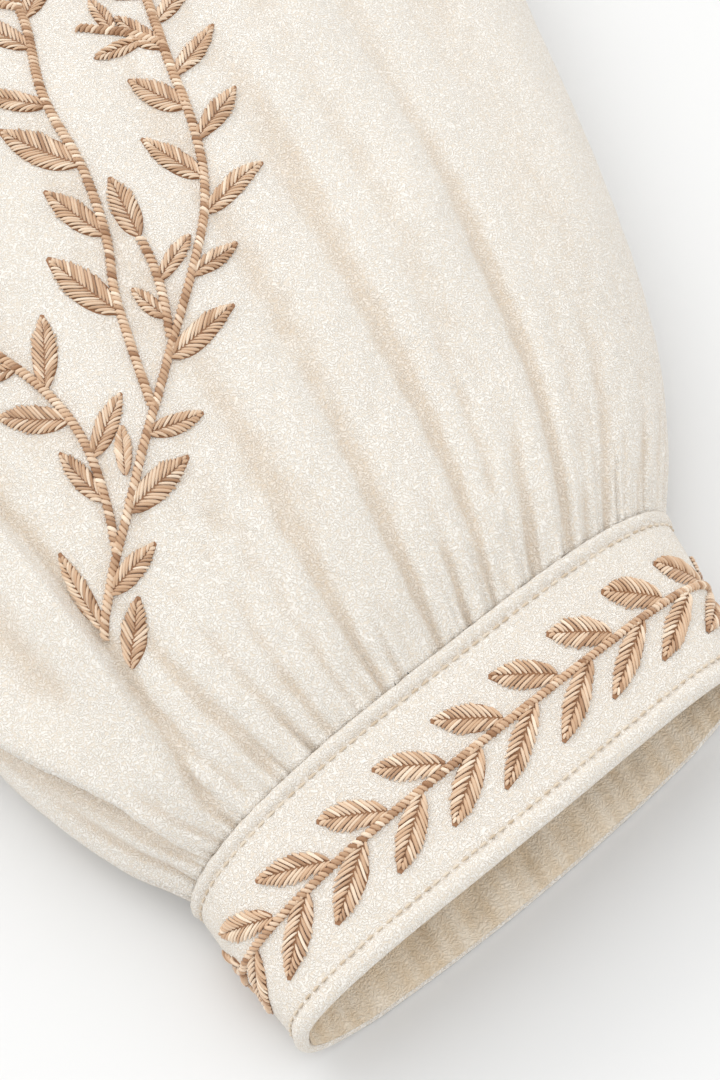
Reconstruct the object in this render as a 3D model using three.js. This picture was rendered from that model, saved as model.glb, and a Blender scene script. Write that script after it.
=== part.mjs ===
// A mandarin collar blouse laid out flat, front up, with full sleeves gathered into deep cuffs that stand open.
// Millimetres, +Z up. The table is z = 0, the collar points to +Y and the wearer's left sleeve to +X.
import * as THREE from "three";

// ---- Driving dimensions ----------------------------------------------------------------------------------------
const CLOTH = 1.5; // thickness of a cloth wall
const SEAM_GAP = 0.3; // daylight between two pieces that are sewn together
const LAYER = CLOTH + SEAM_GAP; // rise from one layer to the next

// The neck ring, an oval that is deeper in front than behind; the shoulder seams meet it at an angle behind its ends.
const NECK = { centre: -38, halfWidth: 78, front: 42, back: 26, shoulderAngle: 30 };
const SHOULDER_TIP = [200, -58];
const UNDERARM = [262, -235];
const ARMHOLE_BOW = 10; // how far the armhole curves in from its straight line
const ARMHOLE_GAP = 0.6; // daylight between the curves of the armhole and of the sleeve's end
const WAIST = [250, -400];
const HEM_SIDE = [284, -634];
const HEM_CENTRE = -640;
const LAP_HALF_WIDTH = 13; // the fronts overlap by twice this
const LAP_FLAT = 16; // the upper front is at its full height within this distance of the middle
const LAP_EASE = 22; // and comes down to the table's side of the lap over this width
const BODY_LOFT = 3.5; // air under the front, away from its seams
const ARMHOLE_LOFT = 7; // air in the end of the sleeve, at the armhole

const CUFF = {
  depth: 31.7, // along the sleeve
  slide: -7.5, // the open end lies this far sideways of the seam
  openHalf: 49.8,
  openHeight: 26.1,
  openFold: 12.8,
  wall: 1.4,
  facingWall: 1.2,
  facingGap: 0.45,
  topBow: 1.6, // the open edge bows outwards in the middle, above and below
  underBow: 3.0,
  rollWidth: 3.3, // the turned edge at the opening
  seamRollWidth: 2.6, // and along the gathers
  rollRise: 0.7,
};

const COLLAR = { height: 32, thickness: 2, lean: 10, endGap: 3, cornerRadius: 15 };
const BUTTON = { radius: 5.5, thickness: 2.2, bevel: 0.4, holeRadius: 0.7, holeSpread: 1.6 };
const BUTTON_COUNT = 7;
const FIRST_BUTTON = -96;
const LAST_BUTTON = -560;

// Sleeve sections from the cuff seam up to the armhole: distance along the sleeve, its heading and the angle of
// the section's own line (degrees), half width, height, height of the side folds, and squareness of the section.
const SLEEVE_SECTIONS = [
  { along: 0, heading: 62.5, across: 48.75, half: 54.2, height: 29.2, fold: 8.0, square: 3.15 },
  { along: 12, heading: 62.5, across: 49.3, half: 62.5, height: 35.0, fold: 9.0, square: 2.8 },
  { along: 30, heading: 62.0, across: 50.5, half: 70.5, height: 40.0, fold: 10.0, square: 2.5 },
  { along: 60, heading: 61.0, across: 52.0, half: 78.5, height: 43.0, fold: 12.0, square: 2.4 },
  { along: 100, heading: 59.0, across: 53.5, half: 87.0, height: 44.0, fold: 13.0, square: 2.3 },
  { along: 150, heading: 56.5, across: 55.0, half: 98.5, height: 42.0, fold: 13.0, square: 2.3 },
  { along: 210, heading: 53.5, across: 53.5, half: 104.0, height: 36.0, fold: 11.0, square: 2.3 },
  { along: 290, heading: 47.0, across: 43.0, half: 101.0, height: 25.0, fold: 8.0, square: 2.4 },
  { along: 370, heading: 38.0, across: 15.0, half: 95.0, height: 16.5, fold: 5.2, square: 2.5 },
  { along: 425, heading: 31.0, across: -9.0, half: 93.5, height: 12.0, fold: 4.8, square: 2.5 },
];
// The last section is the armhole.
const ARMHOLE_AT = 460;
const ARMHOLE_RUN = [SHOULDER_TIP[0] - UNDERARM[0], SHOULDER_TIP[1] - UNDERARM[1]];
SLEEVE_SECTIONS.push({
  along: ARMHOLE_AT,
  heading: 28.0,
  across: THREE.MathUtils.radToDeg(Math.atan2(ARMHOLE_RUN[0], ARMHOLE_RUN[1])),
  half: Math.hypot(...ARMHOLE_RUN) / 2,
  height: LAYER + ARMHOLE_LOFT + CLOTH,
  fold: (LAYER + ARMHOLE_LOFT + CLOTH) / 2,
  square: 2.6,
});
const SLEEVE_RINGS = [0, 4, 10, 19, 32, 50, 75, 110, 155, 210, 280, 360, 425, 460];
// A sleeve is one cut of cloth. Its solid is in lengths that end at these rings, so that collision follows the hollow.
const SLEEVE_LENGTHS = [
  { name: "sleeve", from: 0, to: 155 },
  { name: "sleeve_middle", from: 155, to: 280 },
  { name: "sleeve_cap", from: 280, to: ARMHOLE_AT },
];

// Creases of the gathers on the upper side. Places run from the underarm edge (0) to the outer edge (1): at the cuff
// seam, and where the crease ends, a reach away up the sleeve. Widths are shares of the upper side at the seam.
const CREASES = [
  { place: 0.03, end: 0.022, depth: 1.1, reach: 40, width: 0.012 },
  { place: 0.065, end: 0.06, depth: 1.6, reach: 36, width: 0.014 },
  { place: 0.096, end: 0.108, depth: 1.6, reach: 26, width: 0.01 },
  { place: 0.14, end: 0.158, depth: 1.8, reach: 38, width: 0.013 },
  { place: 0.19, end: 0.194, depth: 1.1, reach: 48, width: 0.009 },
  { place: 0.235, end: 0.236, depth: 1.9, reach: 62, width: 0.011 },
  { place: 0.288, end: 0.282, depth: 1.5, reach: 44, width: 0.012 },
  { place: 0.318, end: 0.334, depth: 1.5, reach: 44, width: 0.009 },
  { place: 0.373, end: 0.36, depth: 1.3, reach: 68, width: 0.015 },
  { place: 0.408, end: 0.438, depth: 1.9, reach: 90, width: 0.012 },
  { place: 0.46, end: 0.462, depth: 1.1, reach: 18, width: 0.013 },
  { place: 0.505, end: 0.516, depth: 2.1, reach: 105, width: 0.012 },
  { place: 0.556, end: 0.57, depth: 1.7, reach: 36, width: 0.012 },
  { place: 0.602, end: 0.596, depth: 2.1, reach: 135, width: 0.012 },
  { place: 0.636, end: 0.658, depth: 1.1, reach: 96, width: 0.008 },
  { place: 0.67, end: 0.698, depth: 2.0, reach: 36, width: 0.012 },
  { place: 0.735, end: 0.744, depth: 2.5, reach: 180, width: 0.011 },
  { place: 0.776, end: 0.79, depth: 1.6, reach: 115, width: 0.01 },
  { place: 0.818, end: 0.84, depth: 2.0, reach: 58, width: 0.011 },
  { place: 0.848, end: 0.856, depth: 1.0, reach: 74, width: 0.008 },
  { place: 0.884, end: 0.9, depth: 1.8, reach: 30, width: 0.014 },
  { place: 0.926, end: 0.936, depth: 1.3, reach: 44, width: 0.011 },
  { place: 0.964, end: 0.966, depth: 1.3, reach: 44, width: 0.011 },
];
const CREASE_SPREAD = 60; // the creases are twice as wide this far up
const CREASE_ONSET = 6; // and reach their depth this far up
const UNDER_CREASES = 18; // gathers on the lower side, pressed flat by the weight of the sleeve
const UNDER_CREASE_RISE = 1.0;
const UNDER_CREASE_REACH = 60;

// Long folds of the sleeve's upper side: ends as [place, distance up the sleeve], rise and width.
const SLEEVE_SPAN = 200; // width of the upper side where the sleeve is full
const SLEEVE_FOLDS = [
  { from: [0.168, 12], to: [0.172, 92], rise: 3.4, width: 6 },
  { from: [0.204, 24], to: [0.216, 110], rise: -2.0, width: 5 },
  { from: [0.05, 8], to: [0.08, 90], rise: 2.2, width: 8 },
  { from: [0.12, 22], to: [0.122, 88], rise: -2.2, width: 6 },
  { from: [0.335, 36], to: [0.33, 130], rise: 2.0, width: 10 },
  { from: [0.47, 16], to: [0.474, 150], rise: 2.4, width: 9 },
  { from: [0.556, 34], to: [0.562, 150], rise: 1.9, width: 6 },
  { from: [0.632, 14], to: [0.63, 160], rise: 1.8, width: 6 },
  { from: [0.7, 32], to: [0.702, 190], rise: 2.4, width: 8 },
  { from: [0.766, 24], to: [0.768, 170], rise: 1.4, width: 4 },
  { from: [0.88, 30], to: [0.9, 180], rise: 1.8, width: 9 },
  { from: [0.865, 180], to: [0.73, 330], rise: 3.2, width: 14 },
  { from: [0.54, 205], to: [0.6, 385], rise: 2.8, width: 15 },
  { from: [0.24, 150], to: [0.2, 280], rise: 3.0, width: 13 },
  { from: [0.01, 300], to: [0.34, 372], rise: 3.6, width: 10 },
  { from: [0.02, 350], to: [0.4, 418], rise: 3.0, width: 9 },
];
// Drape of the body: ends of each soft fold as [x, y], rise and width.
const BODY_FOLDS = [
  { from: [-128, -60], to: [-112, -300], rise: 3.0, width: 17 },
  { from: [140, -70], to: [98, -330], rise: 3.4, width: 18 },
  { from: [226, -250], to: [120, -372], rise: 3.8, width: 13 },
  { from: [-232, -262], to: [-140, -352], rise: 3.4, width: 12 },
  { from: [-176, -390], to: [-200, -660], rise: 4.4, width: 17 },
  { from: [-88, -420], to: [-98, -660], rise: 3.6, width: 15 },
  { from: [76, -440], to: [70, -660], rise: 3.2, width: 14 },
  { from: [158, -370], to: [186, -660], rise: 4.8, width: 18 },
];

const IVORY = { color: 0xf1e9dc, roughness: 0.92, metalness: 0 };
const FACING_BEIGE = { color: 0xd8c9ac, roughness: 0.95, metalness: 0 };
const SHELL_WHITE = { color: 0xefe6d6, roughness: 0.35, metalness: 0 };

// ---- Small maths ------------------------------------------------------------------------------------------------
const radians = THREE.MathUtils.degToRad;
const lerp = THREE.MathUtils.lerp;
const clamp01 = (x) => Math.min(1, Math.max(0, x));
const smooth = (x) => clamp01(x) ** 2 * (3 - 2 * clamp01(x));
const bell = (x) => Math.exp(-x * x);
const range = (count) => Array.from({ length: count }, (_, i) => i);

// A column of a table at any distance, by a cubic through its rows.
function column(table, key, at, name) {
  const last = table.length - 1;
  const i = Math.min(last - 1, Math.max(0, table.findIndex((row) => row[key] > at) - 1));
  const k = at >= table[last][key] ? last - 1 : i;
  const slope = (j) => {
    const a = table[Math.max(0, j - 1)];
    const b = table[Math.min(last, j + 1)];
    return (b[name] - a[name]) / (b[key] - a[key]);
  };
  const span = table[k + 1][key] - table[k][key];
  const t = clamp01((at - table[k][key]) / span);
  const rise = t * t * (3 - 2 * t);
  return (
    lerp(table[k][name], table[k + 1][name], rise) +
    span * (slope(k) * t * (1 - t) ** 2 - slope(k + 1) * t * t * (1 - t))
  );
}

// Height that a table of folds adds at a point of the cloth. span is the real size of 1 across.
function foldRise(folds, x, y, span = 1) {
  let rise = 0;
  for (const { from, to, rise: height, width } of folds) {
    const run = [(to[0] - from[0]) * span, to[1] - from[1]];
    const long = Math.hypot(...run);
    const [dx, dy] = [(x - from[0]) * span, y - from[1]];
    const share = clamp01((dx * run[0] + dy * run[1]) / long ** 2);
    const off = Math.hypot(dx - share * run[0], dy - share * run[1]);
    rise += height * bell(off / width) * smooth(share * 4) * smooth((1 - share) * 3);
  }
  return rise;
}

// ---- Closed solids ----------------------------------------------------------------------------------------------
function geometryOf(points, triangles) {
  const geometry = new THREE.BufferGeometry();
  geometry.setAttribute("position", new THREE.Float32BufferAttribute(points.flat(), 3));
  geometry.setIndex(triangles.flat());
  return geometry;
}

// Triangles between two closed rings whose stops, from 0 up to 1, differ. Each ring is { first, stops }.
function bridge(a, b) {
  const triangles = [];
  const at = (ring, i) => ring.first + (i % ring.stops.length);
  const next = (ring, i) => (i + 1 < ring.stops.length ? ring.stops[i + 1] : 1);
  let i = 0;
  let j = 0;
  while (i < a.stops.length || j < b.stops.length) {
    const stepA = j >= b.stops.length || (i < a.stops.length && next(a, i) <= next(b, j));
    triangles.push(stepA ? [at(a, i), at(a, i + 1), at(b, j)] : [at(a, i), at(b, j + 1), at(b, j)]);
    if (stepA) i += 1;
    else j += 1;
  }
  return triangles;
}

// A tube wall: rings down the outside and back up the inside, each { stops, points }, closed on itself.
function tubeWall(rings) {
  const points = [];
  const placed = rings.map(({ stops, points: own }) => {
    const first = points.length;
    points.push(...own);
    return { first, stops };
  });
  const triangles = placed.flatMap((ring, i) => bridge(ring, placed[(i + 1) % placed.length]));
  return geometryOf(points, triangles);
}

// A sheet wall between an upper and a lower grid of points, both rows by columns.
function sheetWall(upper, lower) {
  const rows = upper.length;
  const columns = upper[0].length;
  const points = [...upper.flat(), ...lower.flat()];
  const under = rows * columns;
  const at = (r, c) => r * columns + c;
  const triangles = [];
  const quad = (a, b, c, d) => triangles.push([a, b, c], [a, c, d]);
  for (let r = 0; r + 1 < rows; r += 1) {
    for (let c = 0; c + 1 < columns; c += 1) {
      quad(at(r, c), at(r, c + 1), at(r + 1, c + 1), at(r + 1, c));
      quad(under + at(r, c), under + at(r + 1, c), under + at(r + 1, c + 1), under + at(r, c + 1));
    }
    const end = columns - 1;
    quad(at(r, end), under + at(r, end), under + at(r + 1, end), at(r + 1, end));
    quad(at(r, 0), at(r + 1, 0), under + at(r + 1, 0), under + at(r, 0));
  }
  for (let c = 0; c + 1 < columns; c += 1) {
    const end = rows - 1;
    quad(at(0, c), under + at(0, c), under + at(0, c + 1), at(0, c + 1));
    quad(at(end, c), at(end, c + 1), under + at(end, c + 1), under + at(end, c));
  }
  return geometryOf(points, triangles);
}

// The same solid on the other side of the body.
function mirrored(geometry) {
  const flipped = geometry.clone();
  const position = flipped.attributes.position;
  for (let i = 0; i < position.count; i += 1) position.setX(i, -position.getX(i));
  const index = Array.from(flipped.index.array);
  for (let i = 0; i < index.length; i += 3) [index[i], index[i + 1]] = [index[i + 1], index[i]];
  flipped.setIndex(index);
  return flipped;
}

// ---- Sections of the sleeve and cuff ---------------------------------------------------------------------------
const SECTION_STEPS = 160;
const FLAT_SHARE = 1.12; // over 1, so that the underside is flat where it rests

// A section as points [across, height] from its underarm edge over the top and back below, each with its stop: 0 to
// 0.5 above and on to 1 below, in proportion to the length of either side.
function sectionRing({ half, height, fold, square }) {
  const side = (above) => {
    const points = range(SECTION_STEPS + 1).map((i) => {
      const turn = (Math.PI * i) / SECTION_STEPS;
      const lift = Math.abs(Math.sin(turn));
      const across = -half * Math.sign(Math.cos(turn)) * Math.abs(Math.cos(turn)) ** (2 / square);
      return [across, above ? lerp(fold, height, lift) : fold * (1 - Math.min(1, FLAT_SHARE * Math.sqrt(lift)))];
    });
    let run = 0;
    const steps = points.map((p, i) => (i ? Math.hypot(p[0] - points[i - 1][0], p[1] - points[i - 1][1]) : 0));
    const lengths = steps.map((step) => (run += step));
    return points.map((point, i) => ({ point, share: lengths[i] / run }));
  };
  const above = side(true).map(({ point, share }) => ({ point, stop: share / 2 }));
  const below = side(false).map(({ point, share }) => ({ point, stop: 1 - share / 2 }));
  return [...above, ...below.reverse().slice(1, -1)];
}

// A point of a section at a stop, moved in from its face by inset.
function sectionPoint(ring, stop, inset) {
  const found = ring.findIndex((entry) => entry.stop > stop);
  const i = (found < 0 ? ring.length : found) - 1;
  const at = (k) => ring[(k + ring.length) % ring.length].point;
  const end = found < 0 ? 1 : ring[found].stop;
  const t = (stop - ring[i].stop) / (end - ring[i].stop);
  const [ax, az] = at(t < 0.5 ? i - 2 : i - 1);
  const [bx, bz] = at(t < 0.5 ? i + 2 : i + 3);
  const long = Math.hypot(bx - ax, bz - az);
  const across = lerp(at(i)[0], at(i + 1)[0], t) + ((bz - az) / long) * inset;
  const z = lerp(at(i)[1], at(i + 1)[1], t) - ((bx - ax) / long) * inset;
  return { across, z: Math.max(0, z) };
}

const acrossOf = (angle) => [Math.sin(radians(angle)), Math.cos(radians(angle))];
const outOf = (angle) => [Math.cos(radians(angle)), -Math.sin(radians(angle))];

function sleeveSection(along) {
  const names = ["heading", "across", "half", "height", "fold", "square"];
  return Object.fromEntries(names.map((name) => [name, column(SLEEVE_SECTIONS, "along", along, name)]));
}

// The middle of the sleeve at a distance from the cuff seam, walked out from the middle of the armhole.
const SPINE_STEP = 5;
function sleeveCentre(along) {
  const centre = [(SHOULDER_TIP[0] + UNDERARM[0]) / 2, (SHOULDER_TIP[1] + UNDERARM[1]) / 2];
  const steps = Math.max(1, Math.ceil((ARMHOLE_AT - along) / SPINE_STEP));
  const step = (ARMHOLE_AT - along) / steps;
  for (let i = 0; i < steps; i += 1) {
    const way = outOf(column(SLEEVE_SECTIONS, "along", ARMHOLE_AT - (i + 0.5) * step, "heading"));
    centre[0] += way[0] * step;
    centre[1] += way[1] * step;
  }
  return centre;
}

// ---- Sleeve ----------------------------------------------------------------------------------------------------
const RIDGE_SHARES = [0.35, 0.65]; // where the ridge between two creases begins and ends

const creasePlace = ({ place, end, reach }, along) => lerp(place, end, clamp01(along / reach));

// How far the gathers and folds push the cloth out at a stop of the section.
function gatherRise(stop, along) {
  const onset = lerp(0.4, 1, smooth(along / CREASE_ONSET));
  if (stop > 0.5) {
    const wave = 0.5 - 0.5 * Math.cos((stop - 0.5) * 2 * UNDER_CREASES * 2 * Math.PI);
    return -UNDER_CREASE_RISE * onset * wave * (1 - smooth(along / UNDER_CREASE_REACH));
  }
  const share = stop * 2;
  let rise = foldRise(SLEEVE_FOLDS, share, along, SLEEVE_SPAN) * Math.sin(Math.PI * share) ** 0.4;
  for (const crease of CREASES) {
    const width = crease.width * (1 + along / CREASE_SPREAD);
    const fade = onset * (1 - smooth(along / crease.reach));
    rise -= crease.depth * fade * bell((share - creasePlace(crease, along)) / width);
  }
  return rise;
}

// Stops of a ring: its living creases, the ridges between them and the gathers below, then enough for the curve.
const CURVE_STOPS = 32;
const LEAST_STEP = 0.008;

function sleeveStops(along) {
  const living = CREASES.filter((crease) => crease.reach > along * 1.15);
  const alive = living.map((crease) => creasePlace(crease, along) / 2);
  const edges = [0, ...alive, 0.5];
  const ridges = edges.slice(1).flatMap((stop, i) => RIDGE_SHARES.map((t) => lerp(edges[i], stop, t)));
  const waves = along < UNDER_CREASE_REACH * 0.7 ? range(UNDER_CREASES * 2) : [];
  const wanted = [...edges, ...ridges, ...waves.map((i) => 0.5 + i / (UNDER_CREASES * 4))];
  const stops = wanted.filter((stop, i) => wanted.findIndex((other) => Math.abs(other - stop) < LEAST_STEP / 4) === i);
  for (const stop of range(CURVE_STOPS).map((i) => i / CURVE_STOPS)) {
    if (stops.every((other) => Math.abs(other - stop) > LEAST_STEP)) stops.push(stop);
  }
  return stops.sort((a, b) => a - b);
}

// A ring of the sleeve, moved out along the arm by a small gap.
function sleeveRing({ along, gap }, inset) {
  const section = sleeveSection(along);
  const centre = sleeveCentre(along);
  const across = acrossOf(section.across);
  const ring = sectionRing(section);
  const nearArmhole = smooth((along - (ARMHOLE_AT - 110)) / 110);
  const outward = outOf(section.across);
  const stops = sleeveStops(along);
  const points = stops.map((stop) => {
    const point = sectionPoint(ring, stop, inset - gatherRise(stop, along) * (1 - nearArmhole));
    const out = gap - ARMHOLE_BOW * nearArmhole * (1 - (point.across / section.half) ** 2);
    return [
      centre[0] + across[0] * point.across + outward[0] * out,
      centre[1] + across[1] * point.across + outward[1] * out,
      point.z,
    ];
  });
  return { stops, points };
}

// A length of the sleeve, which stops just short of the cuff, of the body and of the lengths beside it.
function sleeveWall({ from, to }) {
  const gapAt = (along) => {
    if (along === ARMHOLE_AT) return ARMHOLE_GAP;
    if (along === from) return from === 0 ? -SEAM_GAP * 1.1 : -SEAM_GAP / 2;
    return along === to ? SEAM_GAP / 2 : 0;
  };
  const own = SLEEVE_RINGS.filter((along) => along >= from && along <= to);
  const stations = own.map((along) => ({ along, gap: gapAt(along) }));
  const outside = stations.map((station) => sleeveRing(station, 0));
  const inside = stations.map((station) => sleeveRing(station, CLOTH)).reverse();
  return tubeWall([...outside, ...inside]);
}

// ---- Cuff ------------------------------------------------------------------------------------------------------
// Stops of the cuff, twice as close at its side folds as on its flats.
const CUFF_STEPS = 56;
const CUFF_STOPS = range(CUFF_STEPS).map((i) => i / CUFF_STEPS - Math.sin((4 * Math.PI * i) / CUFF_STEPS) / (8 * Math.PI));

// A ring of the cuff at a depth from the seam, moved in from the cuff's face by inset.
function cuffRing(deep, inset) {
  const share = deep / CUFF.depth;
  const seam = sleeveSection(0);
  const section = {
    half: lerp(seam.half, CUFF.openHalf, share),
    height: lerp(seam.height, CUFF.openHeight, share),
    fold: lerp(seam.fold, CUFF.openFold, share),
    square: seam.square,
  };
  const ring = sectionRing(section);
  const centre = sleeveCentre(0);
  const across = acrossOf(seam.across);
  const out = outOf(seam.across);
  const points = CUFF_STOPS.map((stop) => {
    const point = sectionPoint(ring, stop, inset);
    const bow = (stop < 0.5 ? CUFF.topBow : CUFF.underBow) * share * (1 - (point.across / section.half) ** 2);
    const c = point.across + CUFF.slide * share;
    const way = deep + bow;
    return [
      centre[0] + across[0] * c + out[0] * way,
      centre[1] + across[1] * c + out[1] * way,
      point.z,
    ];
  });
  return { stops: CUFF_STOPS, points };
}

// The outer cuff: rolled along the seam and at the opening, where the roll turns in over the facing's edge.
function cuffWall() {
  const { depth, wall, facingWall, facingGap, rollWidth, seamRollWidth, rollRise } = CUFF;
  const inner = wall + facingGap + facingWall;
  const profile = [
    [0, 0.2],
    [seamRollWidth * 0.3, -rollRise],
    [seamRollWidth * 0.75, -rollRise],
    [seamRollWidth, 0],
    [depth - rollWidth, 0],
    [depth - rollWidth * 0.8, -rollRise],
    [depth - rollWidth * 0.25, -rollRise],
    [depth, 0.6],
    [depth, inner - 0.5],
    [depth - rollWidth * 0.3, inner],
    [depth - rollWidth * 0.6, inner],
    [depth - rollWidth * 0.62, wall],
    [depth / 2, wall],
    [0, wall],
  ];
  return tubeWall(profile.map(([deep, inset]) => cuffRing(deep, inset)).reverse());
}

function cuffFacing() {
  const { depth, wall, facingWall, facingGap, rollWidth } = CUFF;
  const end = depth - rollWidth * 0.62 - SEAM_GAP;
  const face = wall + facingGap;
  const profile = [
    [0, face],
    [depth / 2, face],
    [end, face],
    [end, face + facingWall],
    [depth / 2, face + facingWall],
    [0, face + facingWall],
  ];
  return tubeWall(profile.map(([deep, inset]) => cuffRing(deep, inset)).reverse());
}

// ---- Body ------------------------------------------------------------------------------------------------------
// The armhole's edge from the underarm (0) to the shoulder tip (1).
function armhole(share) {
  const long = Math.hypot(...ARMHOLE_RUN);
  const bow = ARMHOLE_BOW * (1 - (2 * share - 1) ** 2);
  return [
    UNDERARM[0] + ARMHOLE_RUN[0] * share - (ARMHOLE_RUN[1] / long) * bow,
    UNDERARM[1] + ARMHOLE_RUN[1] * share + (ARMHOLE_RUN[0] / long) * bow,
  ];
}

// The neck ring at an angle from its +X end, moved out by a distance.
function neckPoint(angle, out = 0) {
  const turn = radians(angle);
  const deep = Math.sin(turn) < 0 ? NECK.front : NECK.back;
  const [x, y] = [NECK.halfWidth * Math.cos(turn), deep * Math.sin(turn)];
  const [nx, ny] = [x / NECK.halfWidth ** 2, y / deep ** 2];
  const long = Math.hypot(nx, ny);
  return [x + (nx / long) * out, NECK.centre + y + (ny / long) * out];
}
const neckAngle = (x) => -90 + THREE.MathUtils.radToDeg(Math.asin(x / NECK.halfWidth));

const SIDE_ROWS = 9;
const ARM_BELOW_NECK = [0, 0.11, 0.22, 0.33];
const NECK_ANGLES = [neckAngle(LAP_HALF_WIDTH), neckAngle(LAP_FLAT + LAP_EASE), -45, -27, -8, 11, NECK.shoulderAngle];

// The side seam from the hem (0) to the underarm (1).
function sideSeam(share) {
  const curve = new THREE.QuadraticBezierCurve(...[HEM_SIDE, WAIST, UNDERARM].map((p) => new THREE.Vector2(...p)));
  const { x, y } = curve.getPoint(share);
  return [x, y];
}

// Rows across half the front, from the hem to the shoulder: the edge at the centre or neckline, and the outer edge.
function frontRows() {
  const underarmRow = UNDERARM[1] + 12;
  const neckBottom = neckPoint(-90)[1];
  const beside = range(SIDE_ROWS).map((i) => {
    const share = i / SIDE_ROWS;
    return { inner: [0, lerp(HEM_CENTRE, underarmRow, share)], outer: sideSeam(share), arm: 0 };
  });
  const top = ARM_BELOW_NECK.at(-1);
  const below = ARM_BELOW_NECK.map((arm) => ({
    inner: [0, lerp(underarmRow, neckBottom, arm / top)],
    outer: armhole(arm),
    arm,
  }));
  const above = NECK_ANGLES.map((angle, i) => {
    const arm = lerp(top, 1, (i + 1) / NECK_ANGLES.length);
    return { inner: neckPoint(angle), outer: armhole(arm), arm };
  });
  return [...beside, ...below, ...above];
}

// Height of a front's lower face above the table. The wearer's right front climbs over the left one at the centre.
function frontHeight(side, x, y, share, arm) {
  const edge = Math.max(share ** 6, clamp01(arm * 2 - 1) ** 4);
  const armLift = ARMHOLE_LOFT * (1 - Math.abs(2 * arm - 1) ** 4);
  const loft = BODY_LOFT + foldRise(BODY_FOLDS, x, y);
  const climb = side < 0 ? LAYER * clamp01((x + LAP_FLAT + LAP_EASE) / LAP_EASE) : 0;
  return LAYER + Math.max(0, loft * (1 - edge) + armLift * edge) + climb;
}

// One front, as a grid from its centre edge to its side. side is 1 for the wearer's left front and -1 for the right.
const FRONT_COLUMNS = 17;

function frontPanel(side) {
  const grid = (layer) =>
    frontRows().map(({ inner, outer, arm }) => {
      // Below the neckline the centre edge runs past the middle by half the lap.
      const edge = inner[0] > 0 ? inner[0] : -LAP_HALF_WIDTH;
      const long = Math.hypot(outer[0] - edge, outer[1] - inner[1]);
      const lap = [0, LAP_HALF_WIDTH + LAP_FLAT, LAP_HALF_WIDTH + LAP_FLAT + LAP_EASE].map((d) => d / long);
      const rest = range(FRONT_COLUMNS).map((i) => lerp(lap[2], 1, (i + 1) / FRONT_COLUMNS));
      const row = [...lap, ...rest].map((share) => {
        const x = side * lerp(edge, outer[0], share);
        const y = lerp(inner[1], outer[1], share);
        return [x, y, frontHeight(side, x, y, share, arm) + layer];
      });
      return side > 0 ? row : row.reverse();
    });
  return sheetWall(grid(CLOTH), grid(0));
}

// The back lies flat on the table.
function backPanel() {
  const behind = [NECK.shoulderAngle, 42, 55, 70].map((angle) => neckPoint(angle));
  const right = [...frontRows().map(({ outer }) => outer), ...behind];
  const left = right.map(([x, y]) => [-x, y]).reverse();
  const outline = [[0, HEM_CENTRE], ...right, neckPoint(90), ...left].map((p) => new THREE.Vector2(...p));
  return new THREE.ExtrudeGeometry(new THREE.Shape(outline), { depth: CLOTH, bevelEnabled: false });
}

// ---- Collar ----------------------------------------------------------------------------------------------------
// Height of the collar's lower edge: over the fronts, then down to the back behind the shoulder seams.
function neckBase(angle, side) {
  const [x, y] = neckPoint(angle);
  const row = [...NECK_ANGLES].findIndex((other) => other >= angle - 0.01);
  const top = ARM_BELOW_NECK.at(-1);
  const low = row > 0 ? NECK_ANGLES[row - 1] : -90;
  const arm = row < 0 ? 1 : lerp(top, 1, (row + (angle - low) / (NECK_ANGLES[row] - low)) / NECK_ANGLES.length);
  const onFront = frontHeight(side, side * x, y, 0, arm) + LAYER;
  const overLap = side > 0 ? LAYER * clamp01((LAP_HALF_WIDTH + 3 - x) / 2) : 0;
  const behind = smooth((angle - NECK.shoulderAngle - 1) / 14);
  return lerp(onFront + (angle < 0 ? overLap : 0), LAYER, behind);
}

function collarBand() {
  const { height, thickness, lean, endGap, cornerRadius } = COLLAR;
  const near = [endGap / 2, 4, 8, LAP_HALF_WIDTH, LAP_HALF_WIDTH + 3, 26, LAP_FLAT + LAP_EASE].map(neckAngle);
  const angles = [...near, -53, -45, -36, -27, -18, -8, 2, 11, 20, 30, 38, 46, 56, 68, 79];
  const half = (side) => angles.map((angle) => ({ angle, side }));
  const stations = [...half(1), { angle: 90, side: 1 }, ...half(-1).reverse()];
  const leanOut = -Math.tan(radians(lean));
  const grid = (out) =>
    [0, 0.34, 0.68, 1].map((share) =>
      stations.map(({ angle, side }) => {
        const [x] = neckPoint(angle);
        const fromEnd = angle < 0 ? x - endGap / 2 : cornerRadius;
        const short = cornerRadius - Math.sqrt(cornerRadius ** 2 - Math.max(0, cornerRadius - fromEnd) ** 2);
        const up = share * (height - short);
        const [px, py] = neckPoint(angle, out + up * leanOut);
        return [side * (angle < -88 ? Math.max(endGap / 2, px) : px), py, neckBase(angle, side) + up];
      }),
    );
  return sheetWall(grid(thickness), grid(0));
}

// ---- Buttons ---------------------------------------------------------------------------------------------------
const HOLE_SIDES = 6;

function button(y) {
  const { radius, thickness, bevel, holeRadius, holeSpread } = BUTTON;
  const shape = new THREE.Shape().absarc(0, 0, radius - bevel, 0, Math.PI * 2);
  for (const side of [-1, 1]) {
    const rim = range(HOLE_SIDES).map((i) => (-2 * Math.PI * i) / HOLE_SIDES);
    const hole = rim.map((turn) => [side * holeSpread + (holeRadius + bevel) * Math.cos(turn), (holeRadius + bevel) * Math.sin(turn)]);
    shape.holes.push(new THREE.Path(hole.map((p) => new THREE.Vector2(...p))));
  }
  const bevels = { bevelThickness: bevel, bevelSize: bevel, bevelSegments: 1 };
  const disc = new THREE.ExtrudeGeometry(shape, { depth: thickness - bevel * 2, curveSegments: 10, ...bevels });
  const onCloth = LAYER + BODY_LOFT + LAYER + LAYER;
  return disc.translate(0, y, onCloth + bevel);
}

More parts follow.
